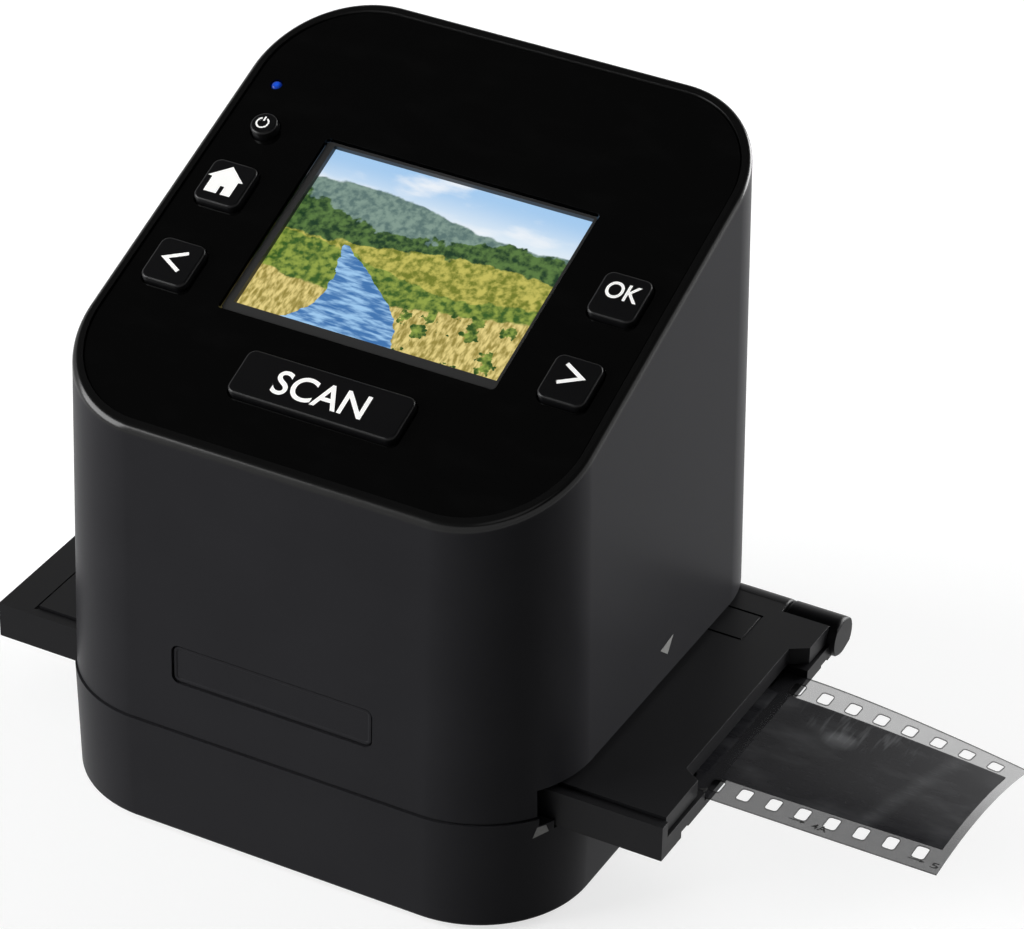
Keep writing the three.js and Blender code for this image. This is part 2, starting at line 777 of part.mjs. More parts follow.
// Memory card socket
function cardSocket() {
  return shape([block([cardX - cardWidth / 2, socketFront, socketHeight - cardTall / 2],
    [cardX + cardWidth / 2, socketBack, socketHeight + cardTall / 2])], [
    block([cardX - cardSlotWidth / 2, socketBack - cardSlotDepth, socketHeight - cardSlotTall / 2],
      [cardX + cardSlotWidth / 2, socketBack + overrun, socketHeight + cardSlotTall / 2]),
  ]);
}

// Depths under the rim's plane of the stack behind the panel
const bezelTopDepth = seatDepth;
const bezelBottomDepth = bezelTopDepth + bezelThickness;
const screenFrameTop = -panelSink - screenFrameSink;
const screenGlassTop = screenFrameTop - screenFrameThickness - gap;
const displayTop = screenGlassTop - screenGlassThickness - gap;
const keyBoardTop = displayTop - displayThickness - gap;
const keyBoardBottom = keyBoardTop - boardThickness;
const switchBottom = keyBoardTop + gap;
const switchBoreDepth = keyStemEngagement + keyTravel + switchBoreRoom;
const switchTop = switchBottom + switchBaseThickness + switchBoreDepth;
const flangeTop = -bezelTopDepth;
const flangeBottom = flangeTop - keyFlangeThickness;

// The push buttons: name, place, size and how far each stands proud of the rim's plane
const keys = [
  { name: 'home', u: -keyU, v: upperKeyV, width: keyWidth },
  { name: 'left', u: -keyU, v: lowerKeyV, width: keyWidth },
  { name: 'ok', u: keyU, v: upperKeyV, width: keyWidth },
  { name: 'right', u: keyU, v: lowerKeyV, width: keyWidth },
  { name: 'scan', u: 0, v: scanV, width: scanWidth },
];

// An opening for a button, larger than it all round
function keyOpening(key, growth, bottom, top) {
  return slab(key.width + 2 * growth, keyHeight + 2 * growth, keyCorner + growth, key.u, key.v, bottom, top);
}

// Glossy panel plate, with openings for the screen, the buttons and the lamp
function topPanel() {
  const inset = rimWidth + panelEdgeGap;
  const plate = loft([
    upperRing(inset, belowRim(panelSink + panelThickness)),
    upperRing(inset, belowRim(panelSink)),
  ], false);
  const bottom = -seatDepth - overrun;
  return shape([plate], [
    onPanel(slab(screenOpeningWidth, screenOpeningHeight, screenOpeningCorner,
      screenOpeningU, screenOpeningV, bottom, overrun)),
    ...keys.map((key) => onPanel(keyOpening(key, gap, bottom, overrun))),
    onPanel(rod(powerRadius + gap, -keyU, powerV, bottom, overrun, roundSegments)),
    onPanel(rod(ledRadius + ledRoom, ledU, ledV, bottom, overrun)),
  ]);
}

// Carrier plate under the panel: guides the buttons and holds display and key board
function panelBezel() {
  const inset = rimWidth + seatWidth + gap;
  const plate = loft([
    upperRing(inset, belowRim(bezelBottomDepth)),
    upperRing(inset, belowRim(bezelTopDepth)),
  ], false);
  const postPlaces = [
    [-bezelPostU, bezelPostBackV], [bezelPostU, bezelPostBackV],
    [-bezelPostFrontU, bezelPostFrontV], [bezelPostFrontU, bezelPostFrontV],
  ];
  const posts = postPlaces.map(([u, v]) => (
    onPanel(rod(bezelPostRadius, u, v, keyBoardTop + gap, -bezelBottomDepth + bezelThickness / 2))));
  const bottom = -bezelBottomDepth - overrun;
  const roof = -bezelTopDepth - displayPocketRoof;
  return shape([plate, ...posts], [
    onPanel(slab(screenOpeningWidth, screenOpeningHeight, screenOpeningCorner,
      screenOpeningU, screenOpeningV, bottom, overrun)),
    onPanel(slab(displayWidth + 2 * gap, displayHeight + 2 * gap, screenOpeningCorner,
      screenOpeningU, screenOpeningV, bottom, roof)),
    ...keys.map((key) => onPanel(keyOpening(key, keyFlange + gap, bottom, overrun))),
    onPanel(rod(powerRadius + keyFlange + gap, -keyU, powerV, bottom, overrun, roundSegments)),
    onPanel(rod(ledRadius + gap, ledU, ledV, bottom, overrun)),
  ]);
}

// Grey frame between the panel's opening and the picture
function screenFrame() {
  return shape([slab(screenOpeningWidth - 2 * gap, screenOpeningHeight - 2 * gap, screenOpeningCorner,
    screenOpeningU, screenOpeningV, screenFrameTop - screenFrameThickness, screenFrameTop)], [
    block([pictureU - pictureWidth / 2, pictureV - pictureHeight / 2,
      screenFrameTop - screenFrameThickness - overrun],
      [pictureU + pictureWidth / 2, pictureV + pictureHeight / 2, screenFrameTop + overrun]),
  ]);
}

function screenGlass() {
  return slab(screenOpeningWidth - 2 * gap, screenOpeningHeight - 2 * gap, screenOpeningCorner,
    screenOpeningU, screenOpeningV, screenGlassTop - screenGlassThickness, screenGlassTop);
}

function displayModule() {
  return slab(displayWidth, displayHeight, screenOpeningCorner, screenOpeningU, screenOpeningV,
    displayTop - displayThickness, displayTop);
}

function keyBoard() {
  return slab(keyBoardWidth, keyBoardBack - keyBoardFront, keyBoardCorner, 0,
    (keyBoardBack + keyBoardFront) / 2, keyBoardBottom, keyBoardTop);
}

// Button cap about its own centre: crowned edge, captive flange and stem
function keyCap(key) {
  const top = keyProud - panelSink;
  const outline = roundedOutline(key.width - 2 * keyEdgeRound, keyHeight - 2 * keyEdgeRound,
    keyCorner - keyEdgeRound);
  const cap = new THREE.ExtrudeGeometry(outline, {
    depth: top - flangeTop - keyEdgeRound, bevelEnabled: true, bevelThickness: keyEdgeRound,
    bevelSize: keyEdgeRound, bevelSegments: edgeSegments, curveSegments: filletSegments,
  }).translate(0, 0, flangeTop);
  const flange = slab(key.width + 2 * keyFlange, keyHeight + 2 * keyFlange, keyCorner + keyFlange,
    0, 0, flangeBottom, flangeTop);
  const stem = rod(keyStemRadius, 0, 0, switchTop - keyStemEngagement, flangeBottom + keyFlangeThickness / 2);
  return shape([flange, cap, stem]);
}

// Round power button about its own centre
function powerCap() {
  const top = powerProud - panelSink;
  const edge = powerRadius - keyEdgeRound;
  const profile = [
    [0, switchTop - keyStemEngagement], [keyStemRadius, switchTop - keyStemEngagement],
    [keyStemRadius, flangeBottom], [powerRadius + keyFlange, flangeBottom],
    [powerRadius + keyFlange, flangeTop], [powerRadius, flangeTop],
    [powerRadius, top - keyEdgeRound], [edge, top], [0, top],
  ];
  return new THREE.LatheGeometry(profile.map(([r, z]) => new THREE.Vector2(r, z)), roundSegments)
    .rotateX(Math.PI / 2);
}

// Tact switch about its own centre, with a bore that takes the button's stem
function tactSwitch() {
  const half = switchSize / 2;
  return shape([block([-half, -half, switchBottom], [half, half, switchTop])],
    [rod(keyStemRadius + gap, 0, 0, switchTop - switchBoreDepth, switchTop + overrun)]);
}

// Light pipe of the status lamp
function statusLightPipe() {
  return rod(ledRadius, 0, 0, keyBoardTop + gap, -panelSink);
}

// Bare badge plate for the front wall
function badgePlate() {
  return badgeSlab(badgeWidth - 2 * gap, badgeHeight - 2 * gap, badgeCorner - gap,
    -badgePocketDepth + gap, -badgeSink);
}

const lidLeft = carrierLeft + leftMarginWidth + gap;
const lidRight = carrierRight - lidRightInset;
const knuckleRight = carrierRight + barrelProud;
const knuckleInner = knuckleRight - knuckleLength;
const channelFront = filmCentreY - filmWidth / 2 - channelRoom;
const channelBack = filmCentreY + filmWidth / 2 + channelRoom;
const channelLeft = carrierLeft + leftMarginWidth + channelLeftStop;

// Film carrier frame: the lower half, with runners, film channel and outer knuckles
function carrierFrame() {
  const past = overrun + knuckleLength;
  const windowFront = filmCentreY - imageWidth / 2;
  const windowBack = filmCentreY + imageWidth / 2;
  const left = carrierLeft;
  const right = carrierRight;
  const plateBack = barrelY - barrelRadius / 2;
  const knuckleFront = barrelY - barrelRadius - gap;
  const leftKnuckle = left + leftMarginWidth;
  const plate = shape([
    block([left, carrierFront, carrierPlateBottom], [right, plateBack, carrierParting]),
    block([left, carrierFront, carrierBottom], [right, carrierFront + runnerWidth, carrierParting]),
    block([left, carrierFront, carrierBottom], [right, carrierFront + frontMarginWidth, marginTop]),
    block([left, carrierFront, carrierPlateBottom], [leftKnuckle, plateBack, marginTop]),
  ], [
    block([channelLeft, channelFront, channelFloor], [right + overrun, channelBack, marginTop + overrun]),
    block([-imageLength / 2, windowFront, carrierBottom - overrun],
      [imageLength / 2, windowBack, marginTop + overrun]),
    block([leftKnuckle - knuckleFaceStep, knuckleFront, carrierBottom - overrun],
      [knuckleInner + knuckleFaceStep, barrelY, marginTop + overrun]),
    ...[carrierFront + runnerWidth, knuckleFront - runnerGrooveWidth].map((y) => (
      block([left - past, y, carrierBottom - overrun],
        [right + past, y + runnerGrooveWidth, carrierBottom + runnerGrooveDepth]))),
  ]);
  return shape([
    plate,
    rodAlongX(barrelRadius, left - knuckleFaceStep, leftKnuckle, barrelY, barrelZ),
    rodAlongX(barrelRadius, knuckleInner, knuckleRight, barrelY, barrelZ),
  ], [
    rodAlongX(hingePinRadius + hingePinRoom, left - overrun, knuckleRight - barrelProud - gap,
      barrelY, barrelZ, smallSegments),
  ]);
}

// Film carrier lid: the hinged upper half with the film exit notch in its right end
function carrierLid() {
  const bottom = carrierLidBottom;
  const front = carrierFront + frontMarginWidth + gap;
  const notch = new THREE.Shape([
    [lidRight + overrun, lidNotchFrontY - lidNotchSplay * (1 + overrun / lidNotchDepth)],
    [lidRight + overrun, lidNotchBackY + lidNotchSplay * (1 + overrun / lidNotchDepth)],
    [lidRight - lidNotchDepth, lidNotchBackY], [lidRight - lidNotchDepth, lidNotchFrontY],
  ].map(([x, y]) => new THREE.Vector2(x, y)));
  const notchTool = new THREE.ExtrudeGeometry(notch, {
    depth: carrierLidTop - bottom + 2 * overrun, bevelEnabled: false,
  }).translate(0, 0, bottom - overrun);
  const ribBottom = filmBottom + filmThickness + gap;
  const ribs = [channelFront + gap, channelBack - gap - lidRibWidth].map((y) => (
    block([channelLeft + gap, y, ribBottom],
      [lidRight - lidNotchDepth - lidRibEndInset, y + lidRibWidth, bottom + gap])));
  const plate = shape([
    block([lidLeft, front, bottom], [lidRight, lidBackEdge, carrierLidTop]),
    block([lidLeft, lidBackEdge - barrelRadius, bottom], [knuckleInner - gap, barrelY, carrierLidTop]),
    ...ribs,
  ], [
    notchTool,
    rodAlongX(barrelRadius + gap, knuckleInner - gap - knuckleFaceStep, lidRight + overrun, barrelY, barrelZ),
    block([-gateWindowLength / 2, filmCentreY - gateWindowWidth / 2, bottom - overrun],
      [gateWindowLength / 2, filmCentreY + gateWindowWidth / 2, carrierLidTop + overrun]),
  ]);
  return shape([plate, rodAlongX(barrelRadius, lidLeft, knuckleInner - gap, barrelY, barrelZ)], [
    rodAlongX(hingePinRadius + hingePinRoom, lidLeft - overrun, knuckleInner + overrun, barrelY, barrelZ,
      smallSegments),
  ]);
}

function hingePin() {
  return rodAlongX(hingePinRadius, carrierLeft + gap, knuckleRight - barrelProud - 2 * gap, barrelY, barrelZ,
    smallSegments);
}

// Film strip: a thin grid with two rows of perforations, flat in its channel and a
// little bowed where it stands out of the carrier
function filmStrip() {
  const freeLength = filmRightEnd - carrierRight;
  const half = filmWidth / 2;
  const outer = (perforationRowSpacing + perforationWidth) / 2;
  const inner = (perforationRowSpacing - perforationWidth) / 2;
  const rows = [-half, -outer, -inner, 0, inner, outer, half];
  const columns = [filmLeftEnd];
  for (let hole = 0; hole < perforationCount; hole += 1) {
    const start = filmLeftEnd + (hole + 1 / 2) * perforationPitch - perforationLength / 2;
    columns.push(start, start + perforationLength);
  }
  columns.push(filmRightEnd);
  const height = (x, y) => {
    const free = Math.max(0, (x - carrierRight) / freeLength);
    return free * free * (filmBow * (1 - (y / half) ** 2) - filmDroop);
  };
  const positions = [];
  [filmBottom, filmBottom + filmThickness].forEach((z) => {
    columns.forEach((x) => rows.forEach((y) => positions.push(x, filmCentreY + y, z + height(x, y))));
  });
  const rowCount = rows.length;
  const layer = columns.length * rowCount;
  const isHole = (column, row) => column % 2 === 1 && (row === 1 || row === rowCount - 3);
  const isFilm = (column, row) => column >= 0 && column < columns.length - 1
    && row >= 0 && row < rowCount - 1 && !isHole(column, row);
  const triangles = [];
  const quad = (a, b, c, d) => triangles.push(a, b, c, a, c, d);
  for (let column = 0; column < columns.length - 1; column += 1) {
    for (let row = 0; row < rowCount - 1; row += 1) {
      if (isFilm(column, row)) {
        const a = column * rowCount + row;
        const b = a + rowCount;
        quad(a + layer, b + layer, b + layer + 1, a + layer + 1);
        quad(a, a + 1, b + 1, b);
        if (!isFilm(column, row - 1)) quad(a, b, b + layer, a + layer);
        if (!isFilm(column, row + 1)) quad(b + 1, a + 1, a + 1 + layer, b + 1 + layer);
        if (!isFilm(column - 1, row)) quad(a + 1, a, a + layer, a + 1 + layer);
        if (!isFilm(column + 1, row)) quad(b, b + 1, b + 1 + layer, b + layer);
      }
    }
  }
  const geometry = new THREE.BufferGeometry();
  geometry.setAttribute('position', new THREE.Float32BufferAttribute(positions, 3));
  geometry.setIndex(triangles);
  return geometry;
}

// Flat cable from the key board's underside down to the main board
function displayCable() {
  const startV = keyBoardBack - flexPad - flexRun;
  const onBoard = (v) => {
    const point = new THREE.Vector3(0, v, keyBoardBottom - gap).applyMatrix4(panelMatrix);
    return [point.y, point.z];
  };
  const face = mainBoardBack - boardThickness - gap;
  const bend = onBoard(startV + flexRun);
  return flatCable([
    onBoard(startV), bend, [face - flexThickness, bend[1] - flexPad],
    [face, mainBoardTop - 2 * flexPad], [face, mainBoardTop - 3 * flexPad],
  ].reverse(), flexThickness, -flexWidth / 2, flexWidth / 2);
}

// Flat cable from the sensor board's top to the main board
function sensorCable() {
  const top = sensorBoardBottom + boardThickness + gap;
  const face = mainBoardBack - boardThickness - gap - flexThickness;
  const start = filmCentreY + sensorBoardDepth / 2 - flexRun;
  return flatCable([
    [start, top], [start + flexRun, top], [face - flexPad, top], [face, top - flexPad],
    [face, top - 2 * flexPad],
  ], flexThickness, -flexWidth / 2, flexWidth / 2);
}

// Plain materials
const finish = (color, roughness, metalness = 0) => () => (
  new THREE.MeshStandardMaterial({ color, roughness, metalness }));
const blackSatin = finish(0x17171a, 0.45);
const blackGloss = finish(0x050506, 0.08);
const keyBlack = finish(0x131315, 0.4);
const darkGrey = finish(0x2a2a2d, 0.5);
const innerBlack = finish(0x1d1d1f, 0.7);
const rubber = finish(0x0c0c0c, 0.9);
const steel = finish(0x9a9ca0, 0.35, 1);
const boardGreen = finish(0x1c5a34, 0.5);
const white = finish(0xf0f0ea, 0.5);
const clear = finish(0xc9d4da, 0.05);
const screenLit = finish(0x5d86a8, 0.1);
const blueLight = finish(0x2f62ff, 0.2);
const filmGrey = finish(0x77777c, 0.2);
const flexAmber = finish(0xa8702a, 0.4);

function piece(name, geometry, material, place = [0, 0, 0]) {
  const mesh = new THREE.Mesh(geometry, material());
  mesh.name = name;
  mesh.position.set(...place);
  return mesh;
}

const scanner = new THREE.Group();

scanner.add(piece('upper_housing', upperHousing(), blackSatin));
scanner.add(piece('base_housing', baseHousing(), blackSatin));
['front_left', 'front_right', 'back_left', 'back_right'].forEach((corner, index) => {
  scanner.add(piece(`foot_${corner}`, foot(), rubber, [...footPlaces[index], 0]));
  scanner.add(piece(`case_screw_${corner}`, caseScrew(), steel, [...screwPlaces[index], screwSink]));
});

scanner.add(piece('guide_rail_front', guideRail(carrierFront - gap, -1), innerBlack));
scanner.add(piece('guide_rail_back', guideRail(carrierBack + gap, 1), innerBlack));
scanner.add(piece('light_box', lightBox(), white));
scanner.add(piece('backlight_board', backlightBoard(), boardGreen));
for (let index = 0; index < lampCount; index += 1) {
  const x = (index - (lampCount - 1) / 2) * lampPitch;
  scanner.add(piece(`backlight_lamp_${index + 1}`, lamp(), white, [x, filmCentreY, lampBottom]));
}
scanner.add(piece('diffuser', diffuser(), white));
scanner.add(piece('film_gate', filmGate(), innerBlack));
scanner.add(piece('light_tunnel', lightTunnel(), innerBlack));
scanner.add(piece('lens_barrel', lensBarrel(), darkGrey, [0, filmCentreY, lensBottom]));
scanner.add(piece('lens_element', lensElement(), clear, [0, filmCentreY, lensBottom + lensLift]));
scanner.add(piece('image_sensor', imageSensor(), darkGrey));
scanner.add(piece('sensor_board', sensorBoard(), boardGreen));
scanner.add(piece('main_board', mainBoard(), boardGreen));
scanner.add(piece('usb_socket', usbSocket(), steel));
scanner.add(piece('video_jack', videoJack(), darkGrey));
scanner.add(piece('card_socket', cardSocket(), steel));
scanner.add(piece('display_cable', displayCable(), flexAmber));
scanner.add(piece('sensor_cable', sensorCable(), flexAmber));
scanner.add(piece('top_panel', topPanel(), blackGloss));
scanner.add(piece('panel_bezel', panelBezel(), innerBlack));

const panel = new THREE.Group();
panel.rotation.x = tilt;
panel.position.z = rimCentreHeight;
panel.add(piece('screen_frame', screenFrame(), darkGrey));
panel.add(piece('screen_glass', screenGlass(), screenLit));
panel.add(piece('display_module', displayModule(), steel));
panel.add(piece('key_board', keyBoard(), boardGreen));
panel.add(piece('status_light_pipe', statusLightPipe(), blueLight, [ledU, ledV, 0]));
keys.forEach((key) => {
  panel.add(piece(`${key.name}_button`, keyCap(key), keyBlack, [key.u, key.v, 0]));
  panel.add(piece(`${key.name}_switch`, tactSwitch(), darkGrey, [key.u, key.v, 0]));
});
panel.add(piece('power_button', powerCap(), keyBlack, [-keyU, powerV, 0]));
panel.add(piece('power_switch', tactSwitch(), darkGrey, [-keyU, powerV, 0]));
scanner.add(panel);

const badge = new THREE.Group();
badge.applyMatrix4(badgeMatrix());
badge.add(piece('front_badge', badgePlate(), blackSatin));
scanner.add(badge);

const carrier = new THREE.Group();
carrier.add(piece('carrier_frame', carrierFrame(), blackSatin));
carrier.add(piece('carrier_lid', carrierLid(), blackSatin));
carrier.add(piece('hinge_pin', hingePin(), steel));
carrier.add(piece('film_strip', filmStrip(), filmGrey));
scanner.add(carrier);

export default scanner;
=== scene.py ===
# %% [markdown]
# A film negative scanner. A black housing stands on four feet, its tilted top carries a glossy
# panel with a small screen and six keys, and a hinged film carrier runs through a slot in both
# side walls. The CAD model holds the sizes and the joints. This lesson dresses it: each visible
# piece is modelled again with soft edges and fine detail, in the place that the frame gives it.

# %% Load the frame
import json
from math import atan2, cos, pi, radians, sin, tan

import bpy
from mathutils import Matrix, Vector

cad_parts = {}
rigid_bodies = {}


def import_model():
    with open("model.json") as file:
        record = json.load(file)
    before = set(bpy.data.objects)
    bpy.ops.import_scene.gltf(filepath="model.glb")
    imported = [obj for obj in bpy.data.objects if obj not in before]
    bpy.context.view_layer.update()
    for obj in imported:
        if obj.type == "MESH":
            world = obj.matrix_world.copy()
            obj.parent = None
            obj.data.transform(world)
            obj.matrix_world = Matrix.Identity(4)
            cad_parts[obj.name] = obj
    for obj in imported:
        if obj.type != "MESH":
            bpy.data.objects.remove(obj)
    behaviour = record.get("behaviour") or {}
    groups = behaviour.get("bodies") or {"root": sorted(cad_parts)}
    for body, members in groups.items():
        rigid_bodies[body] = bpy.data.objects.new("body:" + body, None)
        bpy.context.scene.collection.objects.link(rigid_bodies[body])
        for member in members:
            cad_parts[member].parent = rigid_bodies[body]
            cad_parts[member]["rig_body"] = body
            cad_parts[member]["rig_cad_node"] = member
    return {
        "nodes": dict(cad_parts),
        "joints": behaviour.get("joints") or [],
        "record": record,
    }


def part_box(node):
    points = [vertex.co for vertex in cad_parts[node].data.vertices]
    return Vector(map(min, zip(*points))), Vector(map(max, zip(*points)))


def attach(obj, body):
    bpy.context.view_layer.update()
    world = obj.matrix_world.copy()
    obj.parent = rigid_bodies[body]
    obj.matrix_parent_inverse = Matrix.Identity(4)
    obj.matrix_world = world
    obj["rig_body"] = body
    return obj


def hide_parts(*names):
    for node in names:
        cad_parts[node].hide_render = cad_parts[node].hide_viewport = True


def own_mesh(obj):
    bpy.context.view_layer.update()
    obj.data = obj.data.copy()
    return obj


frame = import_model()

MM = 0.001
nodes = frame["nodes"]
slot_of = {row["node"]: row["material_slot"] for row in frame["record"]["subparts"]}
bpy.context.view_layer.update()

# %% [markdown]
# The camera comes first. Its bearing, height and roll were worked out from the photograph's
# vertical walls and the panel's outline. A long lens from three quarters of a metre away keeps
# the walls nearly parallel.

# %% Camera
azimuth, elevation, roll = radians(27.794), radians(33.024), radians(1.145)
camera_target = Vector((-4.541, 40.859, 24.694)) * MM
camera_distance = 737.98 * MM
photo_width_pixels, focal_pixels, sensor_width = 1024, 4534.7, 36


def direction(bearing, height):
    """A vector away from the scanner, with angles from the front and from the floor."""
    return Vector((sin(bearing) * cos(height), -cos(bearing) * cos(height), sin(height)))


backward = direction(azimuth, elevation)
level_right = (-backward).cross(Vector((0, 0, 1))).normalized()
level_up = level_right.cross(-backward)
camera_right = level_right * cos(roll) + level_up * sin(roll)
camera_up = level_up * cos(roll) - level_right * sin(roll)
bpy.ops.object.camera_add()
camera = bpy.context.object
camera.matrix_world = Matrix.Translation(camera_target + backward * camera_distance) @ Matrix(
    (camera_right, camera_up, backward)).transposed().to_4x4()
camera.data.sensor_width = sensor_width
camera.data.lens = focal_pixels * sensor_width / photo_width_pixels
bpy.context.scene.camera = camera
print("camera lens", round(camera.data.lens, 1), "mm")

# %% [markdown]
# The control panel lies in a tilted plane. The keys' press joint gives the tilt, and one matrix
# turns the panel's own U, V and W into the frame's axes. Each key could be modelled in its tilted
# place, but it is easier to model it flat at the origin and to lay it on the panel when it is done.

# %% The panel's plane
rim_height = 87.1 * MM
press_axis = Vector(next(j["axis"] for j in frame["joints"] if j["name"] == "ok_press"))
tilt = atan2(press_axis.y, -press_axis.z)
panel = Matrix.Translation((0, 0, rim_height)) @ Matrix.Rotation(tilt, 4, "X")


def corners(places):
    """The lowest and the highest corner of some points."""
    return (Vector(min(p[axis] for p in places) for axis in range(3)),
            Vector(max(p[axis] for p in places) for axis in range(3)))


def panel_box(node):
    """The corners of a CAD node in the panel's own plane."""
    return corners([panel.inverted() @ vertex.co for vertex in nodes[node].data.vertices])


def middle(low, high):
    return (low + high) / 2


print("panel tilt", round(tilt * 180 / pi, 2), "degrees")

# %% [markdown]
# Modelling here is done as by hand: add a primitive, select faces or edges, and shape them.
# These helpers save the steps that every piece repeats. `pick` opens a piece in edit mode with
# the wanted parts selected, and everything else is deselected first, because an operator works
# on all that is selected.

# %% Helpers for modelling
def only(*pieces):
    """Leaves edit mode, deselects everything and selects these pieces."""
    if bpy.context.object and bpy.context.object.mode != "OBJECT":
        bpy.ops.object.mode_set(mode="OBJECT")
    bpy.ops.object.select_all(action="DESELECT")
    for piece in pieces:
        piece.select_set(True)
    if pieces:
        bpy.context.view_layer.objects.active = pieces[0]


def pick(piece, kind, test=lambda part: True):
    """Opens the piece in edit mode with the parts that pass the test selected."""
    only(piece)
    bpy.ops.object.mode_set(mode="EDIT")
    bpy.ops.mesh.select_mode(type=kind)
    bpy.ops.mesh.select_all(action="DESELECT")
    bpy.ops.object.mode_set(mode="OBJECT")
    parts = {"VERT": piece.data.vertices, "EDGE": piece.data.edges, "FACE": piece.data.polygons}[kind]
    for part in parts:
        part.select = test(part)
    bpy.ops.object.mode_set(mode="EDIT")


def round_edges(piece, width, test, segments=4):
    """Rounds the edges whose end points both pass the test."""
    pick(piece, "EDGE", lambda edge: all(test(piece.data.vertices[index].co) for index in edge.vertices))
    bpy.ops.mesh.bevel(offset=width, segments=segments, affect="EDGES")
    only(piece)


def at_height(height):
    """A test for points at one height."""
    return lambda point: abs(point.z - height) < MM / 100


def added(name):
    """The new primitive with its name, and its place and size in its mesh."""
    piece = bpy.context.object
    piece.name = piece.data.name = name
    bpy.ops.object.transform_apply(location=True, rotation=True, scale=True)
    return piece


def joined(name, pieces):
    """All the pieces as one."""
    only(*pieces)
    bpy.ops.object.join()
    return added(name)


def box(name, low, high):
    """A box between two corners."""
    only()
    low, high = Vector(low), Vector(high)
    bpy.ops.mesh.primitive_cube_add(size=1, location=middle(low, high), scale=high - low)
    return added(name)


def rounded_box(name, width, height, corner, low, high, segments=8):
    """A slab about the Z axis with its four upright edges rounded."""
    piece = box(name, (-width / 2, -height / 2, low), (width / 2, height / 2, high))
    heights = [vertex.co.z for vertex in piece.data.vertices]
    pick(piece, "EDGE", lambda edge: abs(heights[edge.vertices[0]] - heights[edge.vertices[1]]) > MM / 100)
    bpy.ops.mesh.bevel(offset=corner, segments=segments, affect="EDGES")
    only(piece)
    return piece


def rod(name, radius, low, high, place=(0, 0), sides=48):
    """An upright round rod."""
    only()
    bpy.ops.mesh.primitive_cylinder_add(
        vertices=sides, radius=radius, depth=high - low, location=(*place, (low + high) / 2))
    return added(name)


def modify(piece, kind, **settings):
    """Adds a modifier with these settings and applies it."""
    only(piece)
    modifier = piece.modifiers.new(kind, kind)
    for name, value in settings.items():
        setattr(modifier, name, value)
    bpy.ops.object.modifier_apply(modifier=modifier.name)


def combine(piece, tool, operation="DIFFERENCE"):
    """Cuts the tool from the piece, or joins it on, and uses the tool up."""
    modify(piece, "BOOLEAN", operation=operation, solver="EXACT", object=tool)
    bpy.data.objects.remove(tool)
    return piece


def lay(piece, place):
    """Moves the mesh by a matrix, and leaves the object at the origin."""
    only(piece)
    piece.matrix_world = place @ piece.matrix_world
    bpy.ops.object.transform_apply(location=True, rotation=True, scale=True)
    return piece


def on_panel(piece, place):
    """Lays a piece that is modelled flat at the origin on the control panel."""
    return lay(piece, panel @ Matrix.Translation((place.x, place.y, 0)))


def merge(piece, distance=MM / 1000):
    """Opens the piece in edit mode, all of it selected, and merges points that lie together."""
    pick(piece, "VERT")
    bpy.ops.mesh.remove_doubles(threshold=distance)


def smooth(piece, angle=38):
    """Shades smooth but for sharp edges, and lets the large faces set the shading."""
    only(piece)
    bpy.ops.object.shade_smooth_by_angle(angle=radians(angle))
    modify(piece, "WEIGHTED_NORMAL", keep_sharp=True)
    return piece


def soften(piece, width, angle=35, segments=2, slivers=0):
    """Rounds the hard edges a little, as a mould does, and shades the piece smooth."""
    modify(piece, "BEVEL", width=width, segments=segments, limit_method="ANGLE",
           angle_limit=radians(angle), miter_outer="MITER_ARC")
    if slivers:
        merge(piece, slivers)
        bpy.ops.mesh.dissolve_degenerate(threshold=slivers)
    return smooth(piece)


def counted(piece):
    print(piece.name, "has", len(piece.data.polygons), "faces")


def copied(piece, name):
    """A copy with its own mesh."""
    twin = piece.copy()
    twin.data = piece.data.copy()
    twin.name = twin.data.name = name
    bpy.context.scene.collection.objects.link(twin)
    return twin


# %% [markdown]
# Materials are written as sums. One class wraps a socket, so that `noise * 0.1 + 0.4` adds the
# Math nodes by itself, and one method adds every other kind of node. Patterns read Object
# coordinates, in metres, so that they keep their real size on every piece.

# %% Helpers for materials
materials = {}


def operator(operation):
    """A method that adds one Math node."""
    return lambda self, other: self.maths(operation, other)


class Socket:
    """An output of a shader node that Python's operators work on."""

    def __init__(self, shader, link):
        self.shader, self.link = shader, link

    def maths(self, operation, *values):
        inputs = dict(enumerate([self, *values]))
        return self.shader.node("ShaderNodeMath", {"operation": operation}, inputs)

    __add__ = __radd__ = operator("ADD")
    __sub__ = operator("SUBTRACT")
    __mul__ = __rmul__ = operator("MULTIPLY")
    __truediv__ = operator("DIVIDE")
    __pow__ = operator("POWER")
    __lt__ = operator("LESS_THAN")
    __gt__ = operator("GREATER_THAN")

    def __rsub__(self, other):
        return self * -1 + other

    def step(self, start, end):
        """Goes smoothly from 0 at start to 1 at end."""
        return self.shader.node("ShaderNodeMapRange", {"interpolation_type": "SMOOTHSTEP"},
                                {"Value": self, "From Min": start, "From Max": end})


